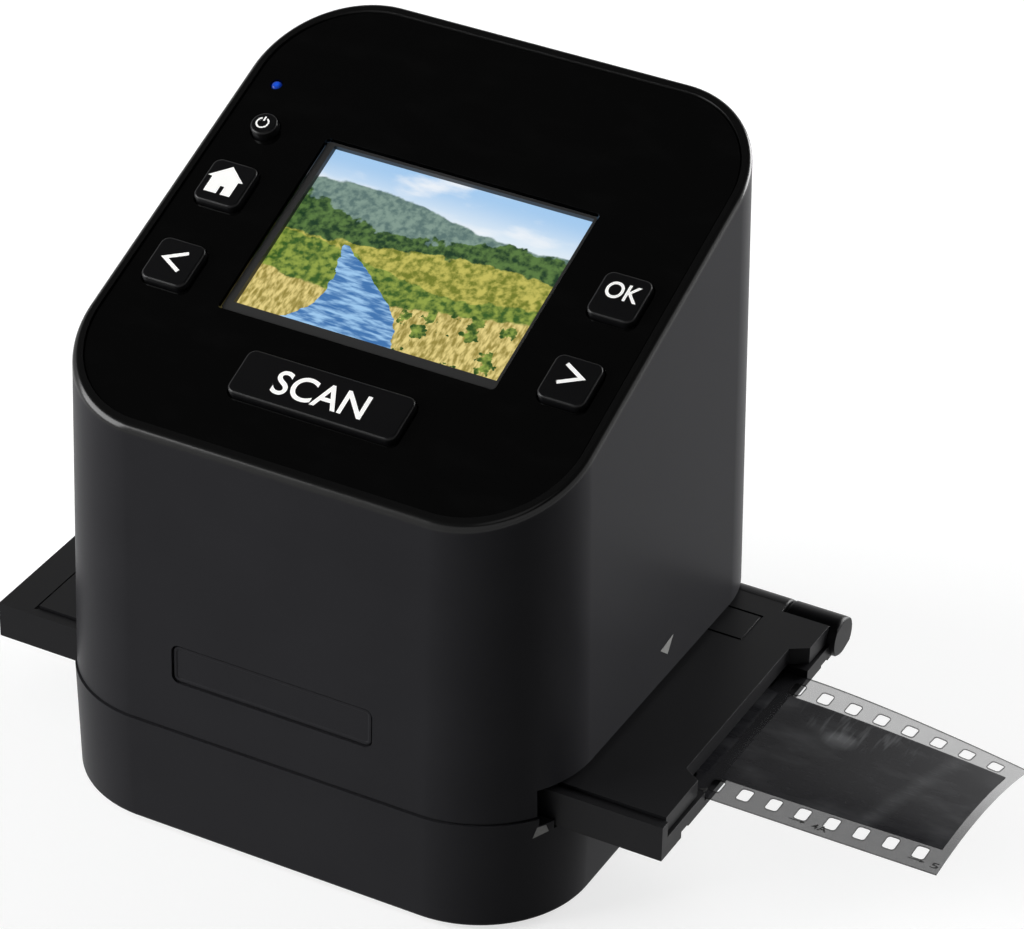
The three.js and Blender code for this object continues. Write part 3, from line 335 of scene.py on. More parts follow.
class Shader:
    """A material with one Principled surface and the nodes that feed it."""

    def __init__(self, name):
        self.name, self.material = name, bpy.data.materials.new(name)
        self.material.use_nodes = True
        self.tree = self.material.node_tree
        self.surface = self.tree.nodes["Principled BSDF"]
        self.place = self.node("ShaderNodeTexCoord", output="Object")
        axes = self.node("ShaderNodeSeparateXYZ", {}, {0: self.place}).link.node.outputs
        self.x, self.y, self.z = (Socket(self, axis) for axis in axes)

    def put(self, node, inputs):
        for key, value in inputs.items():
            if isinstance(value, Socket):
                self.tree.links.new(value.link, node.inputs[key])
            else:
                node.inputs[key].default_value = value

    def node(self, kind, settings={}, inputs={}, output=0):
        node = self.tree.nodes.new(kind)
        for name, value in settings.items():
            setattr(node, name, value)
        self.put(node, inputs)
        return Socket(self, node.outputs[output])

    def noise(self, size, detail=2.0, stretch=None):
        """Soft noise from 0 to 1, with features of about the given size in metres."""
        place = self.place
        if stretch:
            place = self.node("ShaderNodeMapping", {}, {"Vector": place, "Scale": stretch})
        return self.node("ShaderNodeTexNoise", {}, {"Vector": place, "Scale": 1 / size, "Detail": detail})

    def mix(self, factor, first, second):
        """A colour between two colours."""
        return self.node("ShaderNodeMix", {"data_type": "RGBA"}, {0: factor, 6: first, 7: second}, 2)

    def bump(self, height, depth):
        """A surface that rises by depth metres where height goes from 0 to 1."""
        return self.node("ShaderNodeBump", {}, {"Height": height, "Distance": depth, "Strength": 1.0},
                         "Normal")

    def finish(self, **inputs):
        """Sets the surface's own sockets, named with _ for a space, and keeps the material."""
        self.put(self.surface, {name.replace("_", " "): value for name, value in inputs.items()})
        materials[self.name] = self.material


def grey(value, blue=1.0):
    """A grey, with its blue part raised or lowered for a cold or warm one."""
    return (value, value, value * blue, 1)


# %% [markdown]
# Nearly all of the scanner is black ABS, and its finish tells the pieces apart: the walls are
# satin with a fine texture from the mould, and the keys and the carrier are a deeper black. One
# function makes them all from two noises, a fine one for the texture and a broad one for the
# faint unevenness of gloss that a moulded wall has. The rim is polished, so it is black under a
# clear coat that catches the lamp.

# %% Black plastics
cold_tint, unevenness = 1.10, 0.05


def black_plastic(name, colour, roughness, specular, grain_size, grain_depth, polish=None):
    shader = Shader(name)
    broad = shader.noise(14 * MM, 3)
    fine = shader.noise(grain_size, 4)
    base_colour = shader.mix(broad, grey(colour * 0.88, cold_tint), grey(colour * 1.12, cold_tint))
    if polish:
        polished = polish(shader)
        base_colour = shader.mix(polished, base_colour, grey(0.004))
        shader.finish(Coat_Weight=polished * 0.45, Coat_Roughness=0.18)
    shader.finish(
        Base_Color=base_colour,
        Roughness=broad * unevenness + fine * 0.06 + (roughness - unevenness / 2 - 0.03),
        Specular_IOR_Level=specular,
        Normal=shader.bump(fine, grain_depth))


def rim_polish(shader):
    """A mask that is 1 in the round of the rim, the last millimetre under the panel's plane."""
    height = (shader.z - rim_height) * cos(tilt) - shader.y * sin(tilt)
    return height.step(-1.15 * MM, -0.75 * MM)


black_plastic("housing_black", 0.019, 0.38, 0.03, 0.30 * MM, 0.004 * MM, rim_polish)
black_plastic("button_black", 0.004, 0.34, 0.18, 0.22 * MM, 0.002 * MM)
black_plastic("carrier_black", 0.008, 0.40, 0.10, 0.26 * MM, 0.005 * MM)
black_plastic("inner_black", 0.010, 0.62, 0.25, 0.35 * MM, 0.006 * MM)
print(sorted(materials), "made")

# %% [markdown]
# The panel is a clear-fronted, mirror-like black plate. Its reflections could be painted on, but
# a surface that mirrors what stands round it looks right from every side. So its roughness is
# near zero, with the faintest haze where fingers wiped it.

# %% Glossy panel
gloss = Shader("panel_gloss")
haze = gloss.noise(9 * MM, 3, stretch=(1, 2.2, 2.2)).step(0.45, 0.8)
gloss.finish(Base_Color=gloss.mix(haze, grey(0.0006), grey(0.0014)), Roughness=haze * 0.05 + 0.035,
             Specular_IOR_Level=0.42)
print("panel gloss made")

# %% [markdown]
# The housing's plan is a rounded square with drafted walls. A many-sided cone gives that form:
# its two radii are the corner's radius low and high, and each quarter of it is pulled out to its
# corner, which leaves straight walls between them. The same form, a little smaller, makes each
# cutting tool, so walls keep an even thickness.

# %% The housing's form
half_width, half_depth, corner_radius, split_height = 43.6 * MM, 42 * MM, 18.8 * MM, 19.3 * MM
corner_centre = Vector((half_width - corner_radius, half_depth - corner_radius))
upper_lean, base_lean, base_step = radians(1.26), radians(1.37), 0.3 * MM
form_sides = 128
wall, gap = 2.2 * MM, 0.3 * MM


def upper_draft(z):
    return (z - split_height) * tan(upper_lean)


def base_draft(z):
    return (split_height - z) * tan(base_lean) - base_step


def housing_form(name, low, high, inset=0.0, draft=upper_draft):
    """A closed solid with the housing's plan, drafted between two heights."""
    only()
    half_step = pi / form_sides
    low_radius, high_radius = ((corner_radius - inset - draft(z)) / cos(half_step) for z in (low, high))
    bpy.ops.mesh.primitive_cone_add(
        vertices=form_sides, radius1=low_radius, radius2=high_radius, depth=high - low,
        location=(0, 0, (low + high) / 2), rotation=(0, 0, half_step))
    piece = added(name)
    for side in (-1, 1):
        for end in (-1, 1):
            pick(piece, "VERT", lambda vertex: vertex.co.x * side > 0 and vertex.co.y * end > 0)
            bpy.ops.transform.translate(value=(side * corner_centre.x, end * corner_centre.y, 0))
    only(piece)
    return piece


print("plan", round(2 * half_width / MM, 1), "by", round(2 * half_depth / MM, 1), "mm at the split")


def cut_along_panel(piece, depth, keep):
    """Cuts the piece along the panel's plane, so deep under the rim, and closes it there."""
    pick(piece, "FACE")
    bpy.ops.mesh.bisect(plane_co=panel @ Vector((0, 0, -depth)), plane_no=-press_axis, use_fill=True,
                        clear_outer=keep == "below", clear_inner=keep == "above")
    only(piece)
    return piece


# %% [markdown]
# The film carrier's slot goes through both side walls. Its sizes come from the carrier itself:
# the carrier's own box and a gap all round, with a wider mouth above the sill.

# %% The carrier's slot
carrier_low, carrier_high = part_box("carrier_frame")
slot_top = carrier_high.z + 0.8 * MM
slot_sill = 17.9 * MM
past_walls = 60 * MM


def cut_slot(piece):
    for front, back, bottom in ((gap, gap, carrier_low.z - gap), (2.6 * MM, 0.6 * MM, slot_sill)):
        combine(piece, box("slot", (-past_walls, carrier_low.y - front, bottom),
                           (past_walls, carrier_high.y + back, slot_top)))


print("slot top at", round(slot_top / MM, 2), "mm")

# %% [markdown]
# The upper housing is one moulding: outer walls with a round rim, a seat under the rim for the
# panel, and an open inside. It could be lofted ring by ring, but cutting a solid form with
# smaller forms keeps the wall even and is easier to follow. The openings and screw bosses come
# last, then a small round on every edge.

# %% Upper housing
upper_bottom, blank_top, tool_bottom, tool_top = split_height + gap / 2, 112 * MM, 60 * MM, 120 * MM
rim_width, seat_depth, throat_depth, cavity_depth, seat_inset = 1.6 * MM, 2.1 * MM, 6 * MM, 4.1 * MM, 2.8 * MM
upper = cut_along_panel(housing_form("upper_shell", upper_bottom, blank_top), 0, "below")
round_edges(upper, 0.9 * MM, lambda point: abs((panel.inverted() @ point).z) < MM / 100, 5)
for low, high, inset, depth, keep in (
        (tool_bottom, tool_top, rim_width, seat_depth, "above"),
        (tool_bottom, tool_top, seat_inset, throat_depth, "above"),
        (10 * MM, blank_top, wall, cavity_depth, "below")):
    combine(upper, cut_along_panel(housing_form("hollow", low, high, inset), depth, keep))
counted(upper)

# %% Upper housing: bosses, posts and openings
screws = [node for node in nodes if node.startswith("case_screw")]
screw_places = [middle(*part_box(node)).xy for node in screws]
screw_sink, screw_top = (corner.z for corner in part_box(screws[0]))
shank_hole = 1.4 * MM
for place in screw_places:
    combine(upper, rod("boss", 2.7 * MM, upper_bottom, upper_bottom + 14 * MM, place, 32), "UNION")
    combine(upper, rod("screw_hole", shank_hole, upper_bottom - MM, screw_top + gap, place, 32))

board_low, board_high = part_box("main_board")
post_inset, past_back = 4 * MM, 45 * MM
facing_back = Matrix.Rotation(-pi / 2, 4, "X")


def back_rod(name, radius, x, z, front, back):
    """A round rod that runs towards the back wall."""
    return lay(rod(name, radius, front, back), Matrix.Translation((x, 0, z)) @ facing_back)


for height in (board_low.z + post_inset, board_high.z - post_inset):
    for side in (-1, 1):
        combine(upper, back_rod("post", 2.2 * MM, side * (board_high.x - 5 * MM), height,
                                board_high.y + gap, half_depth - MM - upper_draft(height)), "UNION")
for node in ("usb_socket", "card_socket"):
    low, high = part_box(node)
    combine(upper, box("socket_hole", (low.x - gap, low.y, low.z - gap),
                       (high.x + gap, past_back, high.z + gap)))
low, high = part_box("video_jack")
combine(upper, back_rod("jack_hole", (high.x - low.x) / 2 + gap, (low.x + high.x) / 2, (low.z + high.z) / 2,
                        low.y, past_back))

# %% Badge pocket and the walls' slot
badge_x, badge_z = -0.6 * MM, 31.6 * MM
badge_wall = Matrix.Translation((badge_x, upper_draft(badge_z) - half_depth, badge_z)) @ Matrix.Rotation(
    pi / 2 - upper_lean, 4, "X")
combine(upper, lay(rounded_box("badge_pocket", 34.6 * MM, 6.8 * MM, 1.3 * MM, -1 * MM, 3 * MM), badge_wall))
cut_slot(upper)
sliver = MM / 200
soften(upper, 0.16 * MM, slivers=sliver)
counted(upper)

# %% [markdown]
# The base is a shallow tray a hair wider than the upper housing, so a fine step and a shadow
# line run round the scanner. A tongue inside the upper housing keeps the two halves in line.

# %% Base housing
base_top, floor_top, lip, tongue_wall = split_height - gap / 2, 2 * MM, 2 * MM, 1.2 * MM
tongue_outer, tongue_inner = wall + gap, wall + gap + tongue_wall
under_base, boss_room_top = -3 * MM, base_top + 3 * MM
base = housing_form("base_shell", 0, base_top, 0, base_draft)
round_edges(base, 0.8 * MM, at_height(0))
combine(base, housing_form("base_cavity", floor_top, 40 * MM, tongue_inner, base_draft))
combine(base, housing_form("base_undercut", floor_top, base_top - lip - tongue_wall, wall, base_draft))
tongue = housing_form("tongue", base_top - lip / 2, base_top + lip, tongue_outer)
combine(tongue, housing_form("tongue_inside", base_top - lip, base_top + 2 * lip, tongue_inner))
combine(base, tongue, "UNION")
for place in screw_places:
    combine(base, rod("base_boss", 2.9 * MM, floor_top / 2, base_top, place, 32), "UNION")
    for radius, low, high in (
            (3 * MM, base_top - MM / 50, boss_room_top), (shank_hole, under_base, boss_room_top),
            (2.3 * MM, under_base, screw_sink + 1.9 * MM)):
        combine(base, rod("boss_hole", radius, low, high, place, 32))
feet = [node for node in nodes if node.startswith("foot_")]
foot_places = [middle(*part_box(node)).xy for node in feet]
for place in foot_places:
    combine(base, rod("foot_recess", 4.3 * MM, under_base, 1.1 * MM, place))
cut_slot(base)
soften(base, 0.14 * MM, slivers=sliver)
counted(base)

# %% [markdown]
# The panel plate fits inside the rim with a fine gap. It is cut for the screen, the keys and
# the lamp, and its edges get a hairline round, which is what catches the light on the real one.

# %% Control panel
plate = housing_form("control_panel", tool_bottom, tool_top, rim_width + 0.25 * MM)
cut_along_panel(plate, 0.3 * MM, "below")
cut_along_panel(plate, 1.8 * MM, "above")
under_plate, over_plate = -6 * MM, 3 * MM


def panel_hole(width, height, corner, place):
    """Cuts a rounded opening through the plate, a gap larger than what fills it."""
    tool = rounded_box("opening", width + 2 * gap, height + 2 * gap, corner, under_plate, over_plate)
    combine(plate, on_panel(tool, place))


key_names = ["home", "left", "ok", "right", "scan"]
key_corner, key_height = 1.4 * MM, 8.3 * MM
key_width = {name: 28.2 * MM if name == "scan" else 7.75 * MM for name in key_names}
key_place = {name: middle(*panel_box(f"{name}_button")) for name in key_names + ["power"]}
for name in key_names:
    panel_hole(key_width[name], key_height, key_corner + gap, key_place[name])
screen_low, screen_high = panel_box("screen_frame")
screen_size = screen_high - screen_low
panel_hole(screen_size.x, screen_size.y, 0.6 * MM, middle(screen_low, screen_high))
lamp_low, lamp_high = panel_box("status_light_pipe")
lamp_place = middle(lamp_low, lamp_high)
for radius, place in ((2.45 * MM, key_place["power"]), (1.0 * MM, lamp_place)):
    combine(plate, on_panel(rod("round_hole", radius, under_plate, over_plate), place))
soften(plate, 0.12 * MM)
counted(plate)

# %% [markdown]
# A key is a cap on a wider flange that keeps it captive, with a stem below that presses the
# switch. The flange is a rounded slab. Insetting its top face and pulling it up makes the cap in
# one go, and a bevel rounds the cap's rim. The four small keys share one model.

# %% Keys
key_top, flange_top, flange_bottom, flange_reach = 0.9 * MM, -2.1 * MM, -2.9 * MM, 0.7 * MM
stem_low = panel_box("home_button")[0].z


def with_stem(piece):
    """Adds the stem below the flange, and shades the key."""
    return smooth(combine(piece, rod("stem", MM, stem_low, flange_bottom + MM / 2, sides=24), "UNION"))


def key_model(name, width):
    piece = rounded_box(name, width + 2 * flange_reach, key_height + 2 * flange_reach,
                        key_corner + flange_reach, flange_bottom, flange_top)
    pick(piece, "FACE", lambda face: face.normal.z > 0.9)
    bpy.ops.mesh.inset(thickness=flange_reach)
    bpy.ops.mesh.extrude_region_move(TRANSFORM_OT_translate={"value": (0, 0, key_top - flange_top)})
    round_edges(piece, 0.42 * MM, at_height(key_top))
    return with_stem(piece)


small_key = key_model("small_key", key_width["ok"])
keys = {name: copied(small_key, f"{name}_key_cap") for name in key_names if name != "scan"}
keys["scan"] = key_model("scan_key_cap", key_width["scan"])
bpy.data.objects.remove(small_key)
print(sorted(keys), "keys made")

# %% Power key and status lamp
power_top, power_radius = 1.2 * MM, 2.15 * MM
power = rod("power_key_cap", power_radius, flange_top, power_top)
round_edges(power, 0.4 * MM, at_height(power_top))
combine(power, rod("power_flange", power_radius + flange_reach, flange_bottom, flange_top + MM / 50), "UNION")
keys["power"] = with_stem(power)
for name, piece in keys.items():
    on_panel(piece, key_place[name])

lamp = rod("status_lamp", 0.85 * MM, lamp_low.z, lamp_high.z, sides=32)
round_edges(lamp, 0.45 * MM, at_height(lamp_high.z))
on_panel(smooth(lamp), lamp_place)
print(len(keys), "keys and the lamp laid on the panel")

# %% [markdown]
# The legends are white ink on the keys. They could be a pattern in the keys' material, but an
# outline of their own has sharper edges. Printed marks have next to no height, so each is a flat
# outline given a few hundredths of a millimetre, which rides on its key. The words are text
# objects made into meshes and fitted to the size that the photograph shows.

# %% Legends
ink, bolder = 0.03 * MM, 0.012


def inked(piece, low):
    """Makes a curve or text a closed thin mesh that stands on the height low."""
    only(piece)
    bpy.ops.object.convert(target="MESH")
    merge(piece)
    bpy.ops.mesh.normals_make_consistent(inside=False)
    return lay(piece, Matrix.Translation((0, 0, low + ink / 2)))


def flat_mark(name, loops, low):
    """A thin flat piece with the given outlines, in millimetres."""
    curve = bpy.data.curves.new(name, "CURVE")
    curve.dimensions, curve.fill_mode, curve.extrude = "2D", "BOTH", ink / 2
    for loop in loops:
        line = curve.splines.new("POLY")
        line.points.add(len(loop) - 1)
        for point, (u, v) in zip(line.points, loop):
            point.co = (u * MM, v * MM, 0, 1)
        line.use_cyclic_u = True
    piece = bpy.data.objects.new(name, curve)
    bpy.context.scene.collection.objects.link(piece)
    return inked(piece, low)


def word(name, text, width, height, low):
    """A word fitted to a width and height in millimetres, about its own centre."""
    only()
    bpy.ops.object.text_add()
    piece = bpy.context.object
    piece.name = name
    piece.data.body, piece.data.extrude, piece.data.offset = text, 1, bolder
    bpy.ops.object.convert(target="MESH")
    low_corner, high_corner = corners([vertex.co for vertex in piece.data.vertices])
    size = high_corner - low_corner
    fit = Matrix.Diagonal((width * MM / size.x, height * MM / size.y, ink / size.z, 1))
    lay(piece, fit @ Matrix.Translation(-middle(low_corner, high_corner)))
    return inked(piece, low)


def arc(radius, start, end, steps=20):
    """Points on a circle between two angles in degrees."""
    angles = [radians(start + (end - start) * step / steps) for step in range(steps + 1)]
    return [(radius * cos(angle), radius * sin(angle)) for angle in angles]


house = [(-2.28, -2.4), (-0.1, -2.4), (-0.1, -0.85), (0.62, -0.85), (0.62, -2.4), (2.28, -2.4),
         (2.28, 0.5), (3.04, 0.6), (0.0, 3.1), (-3.04, 0.6), (-2.28, 0.5)]
arrow_right = [(2.2, 0), (-1.55, 2.05), (-1.8474, 1.506), (0.9075, 0), (-1.8474, -1.506), (-1.55, -2.05)]
arrow_left = [(-u, v) for u, v in arrow_right]
power_ring = arc(1.1, 116, 424) + arc(0.82, 424, 116)
power_bar = [(-0.14, 0.4), (0.14, 0.4), (0.14, 1.26), (-0.14, 1.26)]
legends = {}
for name, u, v, piece in (
        ("home", -0.3, 0, flat_mark("home_legend", [house], key_top)),
        ("left", -0.1, 0.3, flat_mark("left_legend", [arrow_left], key_top)),
        ("right", 0, 0.75, flat_mark("right_legend", [arrow_right], key_top)),
        ("ok", 0.15, 0.9, word("ok_legend", "OK", 5.5, 3.1, key_top)),
        ("scan", 0.05, -0.1, word("scan_legend", "SCAN", 15.3, 4.4, key_top)),
        ("power", -0.2, 0, flat_mark("power_legend", [power_ring, power_bar], power_top))):
    legends[name] = on_panel(piece, key_place[name] + Vector((u, v, 0)) * MM)
print(len(legends), "legends")

# %% [markdown]
# The badge plate sits in a shallow pocket of the front wall. On this part it is bare. A raised
# border round a slightly sunk field keeps the place as carefully finished as the rest.

# %% Badge plate
def sink(piece, facing, border, slope, shift):
    """Moves the field inside a border and a narrow slope, on the face that looks up or down."""
    pick(piece, "FACE", lambda face: face.normal.z * facing > 0.9)
    bpy.ops.mesh.inset(thickness=border)
    bpy.ops.mesh.inset(thickness=slope)
    bpy.ops.transform.translate(value=(0, 0, shift))
    only(piece)


badge = rounded_box("badge_plate", 34 * MM, 6.2 * MM, 1.0 * MM, -0.7 * MM, -0.25 * MM)
sink(badge, 1, 0.45 * MM, 0.08 * MM, -0.1 * MM)
soften(badge, 0.1 * MM, slivers=sliver)
lay(badge, badge_wall)
print("bare badge plate made")

# %% [markdown]
# The carrier's frame and lid are shaped by many small steps that the CAD model already has
# right, and they have to close on each other. So each starts as a merged copy of its CAD solid.
# Flat faces are cleaned of their triangles, details are cut in, and the edges are rounded.

# %% Film carrier
def from_cad(node, name):
    """A merged copy of a CAD node, with its flat faces in one piece."""
    piece = copied(nodes[node], name)
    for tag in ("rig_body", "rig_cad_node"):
        del piece[tag]
    piece.parent = None
    merge(piece)
    bpy.ops.mesh.dissolve_limited(angle_limit=radians(0.5))
    only(piece)
    return piece


lid_top, lid_end = 23.3 * MM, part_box("carrier_lid")[0].x
mark_low, mark_high = Vector((41.0, 16.6)) * MM, Vector((49.0, 24.2)) * MM
mark_line, mark_depth, core_low, core_high = 0.4 * MM, 0.2 * MM, 20 * MM, 30 * MM


def mark_box(name, inset, low, high):
    """A box about the square mark on the lid, smaller by the inset."""
    return box(name, (mark_low.x + inset, mark_low.y + inset, low),
               (mark_high.x - inset, mark_high.y - inset, high))


lid = from_cad("carrier_lid", "carrier_lid_cover")
ring = mark_box("mark_ring", 0, lid_top - mark_depth, lid_top + MM)
combine(lid, combine(ring, mark_box("mark_core", mark_line, core_low, core_high)))
barrel_radius, knuckle_length, end_line = 3.3 * MM, 9.2 * MM, 0.25 * MM
barrel_y, barrel_z = carrier_high.y - barrel_radius, carrier_low.z + barrel_radius


def round_barrel_end(piece, x, width):
    """Rounds the hinge barrel's end that lies at the length x."""
    def on_end(point):
        away = Vector((point.y - barrel_y, point.z - barrel_z)).length
        return abs(point.x - x) < MM / 100 and abs(away - barrel_radius) < MM / 50
    round_edges(piece, width, on_end)


carrier = from_cad("carrier_frame", "carrier_tray")
combine(carrier, box("end_line", (lid_end - gap - end_line, carrier_low.y + 1.5 * MM, lid_top - 0.6 * MM),
                     (lid_end, carrier_high.y - 2 * barrel_radius, lid_top + MM)))
round_barrel_end(carrier, carrier_high.x, 0.7 * MM)
round_barrel_end(carrier, carrier_high.x - knuckle_length, 0.5 * MM)
round_barrel_end(lid, carrier_high.x - knuckle_length - gap, 0.5 * MM)
soften(lid, 0.22 * MM)
soften(carrier, 0.25 * MM)
pin = soften(from_cad("hinge_pin", "hinge_rod"), 0.15 * MM)
counted(lid)
counted(carrier)

# %% [markdown]
# The film is 35 mm wide and 0.16 mm thick, with a rounded hole every 4.75 mm along both edges.
# The holes could be a pattern too, but holes that are cut let the floor show through. One hole
# tool is modelled, copied along both rows, and all are cut at once. The part that stands out of
# the carrier is divided and then bent, as developed film is: it crowns across its width, and its
# back edge droops more and more towards the free end.

# %% Film strip
film_low, film_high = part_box("film_strip")
film_bottom, film_thickness = 18.9 * MM, 0.16 * MM
film_width, film_centre_y = 35 * MM, 0.6 * MM
pitch, hole_count, hole_rows = 4.75 * MM, 29, 28.17 * MM
hole_length, hole_width, hole_corner = 1.98 * MM, 2.8 * MM, 0.5 * MM
last_hole = film_high.x - 4.05 * MM


def placed_copies(pattern, names, places):
    """A copy of the pattern at each place. The pattern itself is used up."""
    copies = [lay(copied(pattern, name), Matrix.Translation((*place, 0)))
              for name, place in zip(names, places)]
    bpy.data.objects.remove(pattern)
    return copies


film = box("film_strip_piece", (film_low.x, film_centre_y - film_width / 2, film_bottom),
           (film_high.x, film_centre_y + film_width / 2, film_bottom + film_thickness))
hole = rounded_box("hole", hole_length, hole_width, hole_corner, film_bottom - MM, film_bottom + MM, 4)
hole_places = [(last_hole - index * pitch, film_centre_y + row * hole_rows / 2)
               for row in (-1, 1) for index in range(hole_count)]
holes = placed_copies(hole, ["film_hole"] * len(hole_places), hole_places)
combine(film, joined("film_holes", holes))
counted(film)

# %% Film strip: bend the free end
bend_start, bend_parts, side_parts = 60.4 * MM, 18, 6
free_length = film_high.x - bend_start
crown, droop = 2.0 * MM, 2.0 * MM


def divide(piece, place, normal):
    """Adds a row of edges where a plane crosses the piece."""
    pick(piece, "FACE")
    bpy.ops.mesh.bisect(plane_co=place, plane_no=normal)
    only(piece)


def film_rise(x, y):
    """How far the bowed film stands above its flat place."""
    free = max(0, (x - bend_start) / free_length)
    across = (y - film_centre_y) / (film_width / 2)
    return free ** 1.5 * (crown * (1 - across * across) - droop * (1 + across))


for step in range(bend_parts):
    divide(film, (bend_start + free_length * step / bend_parts, 0, 0), (1, 0, 0))
for step in range(1 - side_parts, side_parts):
    divide(film, (0, film_centre_y + film_width / 2 * step / side_parts, 0), (0, 1, 0))
for vertex in film.data.vertices:
    vertex.co.z += film_rise(vertex.co.x, vertex.co.y)
smooth(film, 30)
counted(film)

# %% Film strip: edge marks
arrow = [(-1.6, 0.07), (-1.6, -0.07), (0.3, -0.07), (0.3, -0.3), (1.1, 0), (0.3, 0.3), (0.3, 0.07)]
mark_y = film_centre_y - film_width / 2 + 1.6 * MM
over_film = film_bottom + film_thickness + 0.01 * MM
marks = [(x, word(f"film_number_{text}", text, 1.2 * len(text), 1.3, 0))
         for text, x in (("4", 58.4), ("4A", 77.4), ("5", 95.9))]
marks += [(x, flat_mark("film_arrow", [arrow], 0)) for x in (55.4, 74.0, 93.2)]
for x, piece in marks:
    lay(piece, Matrix.Translation((x * MM, mark_y, over_film + film_rise(x * MM, mark_y))))
film_marks = joined("film_edge_marks", [piece for x, piece in marks])
print(len(marks), "marks on the film")

# %% [markdown]
# The sockets' metal shells stay as the CAD model has them. What makes them read as sockets is
# inside: black insulation that swallows the light, and a row of small contacts.

# %% Linings of the sockets
def socket_part(name, centre, half, front, back):
    """A box about a place in a socket, with half sizes in X and Z and two ends in Y."""
    return box(name, (centre.x - half.x, front, centre.z - half.z),
               (centre.x + half.x, back, centre.z + half.z))


card_low, card_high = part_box("card_socket")
usb_low, usb_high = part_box("usb_socket")
card_centre, usb_centre = middle(card_low, card_high), middle(usb_low, usb_high)
card_end, card_mouth, lining = card_high.y - 2.95 * MM, card_high.y - 0.3 * MM, 0.2 * MM
card_half, tongue_half = Vector((12.15, 0, 1.15)) * MM, Vector((2.65, 0, 0.5)) * MM
room_half = card_half - Vector((lining, 0, lining))
card_liner = socket_part("card_lining", card_centre, card_half, card_end, card_mouth)
combine(card_liner, socket_part("card_room", card_centre, room_half, card_end + lining, card_mouth + MM))
tongue_cover = socket_part("usb_tongue_cover", usb_centre, tongue_half, usb_low.y + 1.2 * MM,
                           usb_high.y - 0.35 * MM)
soften(tongue_cover, 0.08 * MM)

strips = []
for centre, count, spacing, half_width_of_one, depth, front, back in (
        (card_centre, 9, 2.5, 0.5, room_half.z, card_end + lining, card_mouth - 0.4 * MM),
        (usb_centre, 4, 1.1, 0.3, tongue_half.z - 0.05 * MM, usb_low.y + 2 * MM, usb_high.y - 0.7 * MM)):
    for index in range(count):
        place = centre + Vector(((index - (count - 1) / 2) * spacing * MM, 0, -depth))
        half = Vector((half_width_of_one, 0, 0.1)) * MM
        strips.append(socket_part("contact", place, half, front, back))
contacts = joined("socket_contacts", strips)
print(len(strips), "contacts in the sockets")

# %% [markdown]
# Small fasteners carry a lot of the feel of a real product when it is turned over. The feet
# are round rubber pads with a soft edge and a shallow dish, and the case screws have a cross
# recess in a rounded head. Each is modelled once and copied to its places.

# %% Feet and screws
foot_low, foot_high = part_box(feet[0])
foot = rod("foot", 4 * MM, foot_low.z, foot_high.z)
sink(foot, -1, 1.1 * MM, 0.3 * MM, 0.25 * MM)
soften(foot, 0.3 * MM, 50, 3)
foot_pieces = placed_copies(foot, [node.replace("foot", "rubber_foot") for node in feet], foot_places)

screw = rod("screw", 2 * MM, screw_sink, screw_sink + 1.6 * MM)
round_edges(screw, 0.4 * MM, at_height(screw_sink), 3)
combine(screw, rod("shank", 1.1 * MM, screw_sink + MM, screw_top - MM, sides=24), "UNION")
pick(screw, "FACE", lambda face: face.normal.z > 0.9 and face.center.z > screw_top - 1.1 * MM)
bpy.ops.mesh.extrude_region_move(TRANSFORM_OT_translate={"value": (0, 0, MM)})
bpy.ops.transform.resize(value=(0.1, 0.1, 1))
for turn in (0, pi / 2):
    arm = box("arm", (-1.15 * MM, -0.22 * MM, screw_sink - MM), (1.15 * MM, 0.22 * MM, screw_sink + 0.9 * MM))
    combine(screw, lay(arm, Matrix.Rotation(turn, 4, "Z")))
smooth(screw)
screw_pieces = placed_copies(screw, [node.replace("case", "housing") for node in screws], screw_places)
print(len(foot_pieces), "feet and", len(screw_pieces), "screws")

# %% [markdown]
# A slim pale pointer is printed on the right wall above the slot, to line the carrier up with the
# light. A pale patch sits on the base's round corner under the slot's front end. It is a painted
# highlight that stands in for light caught by the lower edge of the slot's mouth, which is not
# modelled. Each is a flat outline that is stood up, turned to face outwards and laid on the wall.

# %% Pointers by the slot
facing_right = Matrix(((0, 0, 1), (1, 0, 0), (0, 1, 0))).to_4x4()


def wall_mark(name, outline, turn, distance, centre, height, lean):
    """A mark on a wall that faces the turn from +X, so far out, its outline in millimetres."""
    out = Matrix.Rotation(radians(turn), 4, "Z") @ Matrix.Translation((distance, 0, 0))
    place = Matrix.Translation((*centre, height)) @ out @ Matrix.Rotation(lean, 4, "Y")
    return lay(flat_mark(name, [outline], 0), place @ facing_right)


pointer_height, painted_glint_height = 29.3 * MM, 16.9 * MM
pointer = wall_mark("wall_pointer", [(3.6, 1.2), (-0.7, 0.7), (1.7, -1.3)], 0,
                    half_width - upper_draft(pointer_height), (0, 0), pointer_height, -upper_lean)
# A painted highlight: a pale patch for the light that the edge of the slot's mouth catches. It is not print.
painted_corner_glint = wall_mark("slot_corner_painted_glint", [(-1.4, -1.0), (1.3, -0.5), (0.8, 0.8), (-0.7, 0.8)], -33,
                        corner_radius - base_draft(painted_glint_height) + ink / 2,
                        (corner_centre.x, -corner_centre.y), painted_glint_height, base_lean)
print("two marks by the slot")

# %% [markdown]
# Clear and printed finishes come next. White ink is flat and even. The white ink also gets a
# faint glow, which is painted light: an emission that makes the print brighter than the lamps
# light it. The status lamp glows blue from its middle, because a small diode sits behind a clear
# pipe. Bare metal, circuit board and rubber get the variation that each shows at its own scale.

# %% Small finishes
def patterned(name, size, dark, light, roughness, spread=0.1, detail=3, stretch=None, depth=0, **more):
    """A finish whose colour, roughness and fine relief all follow one noise."""
    shader = Shader(name)
    pattern = shader.noise(size, detail, stretch)
    if spread:
        roughness = pattern * spread + roughness
    if depth:
        more["Normal"] = shader.bump(pattern, depth)
    shader.finish(Base_Color=shader.mix(pattern, dark, light), Roughness=roughness, **more)
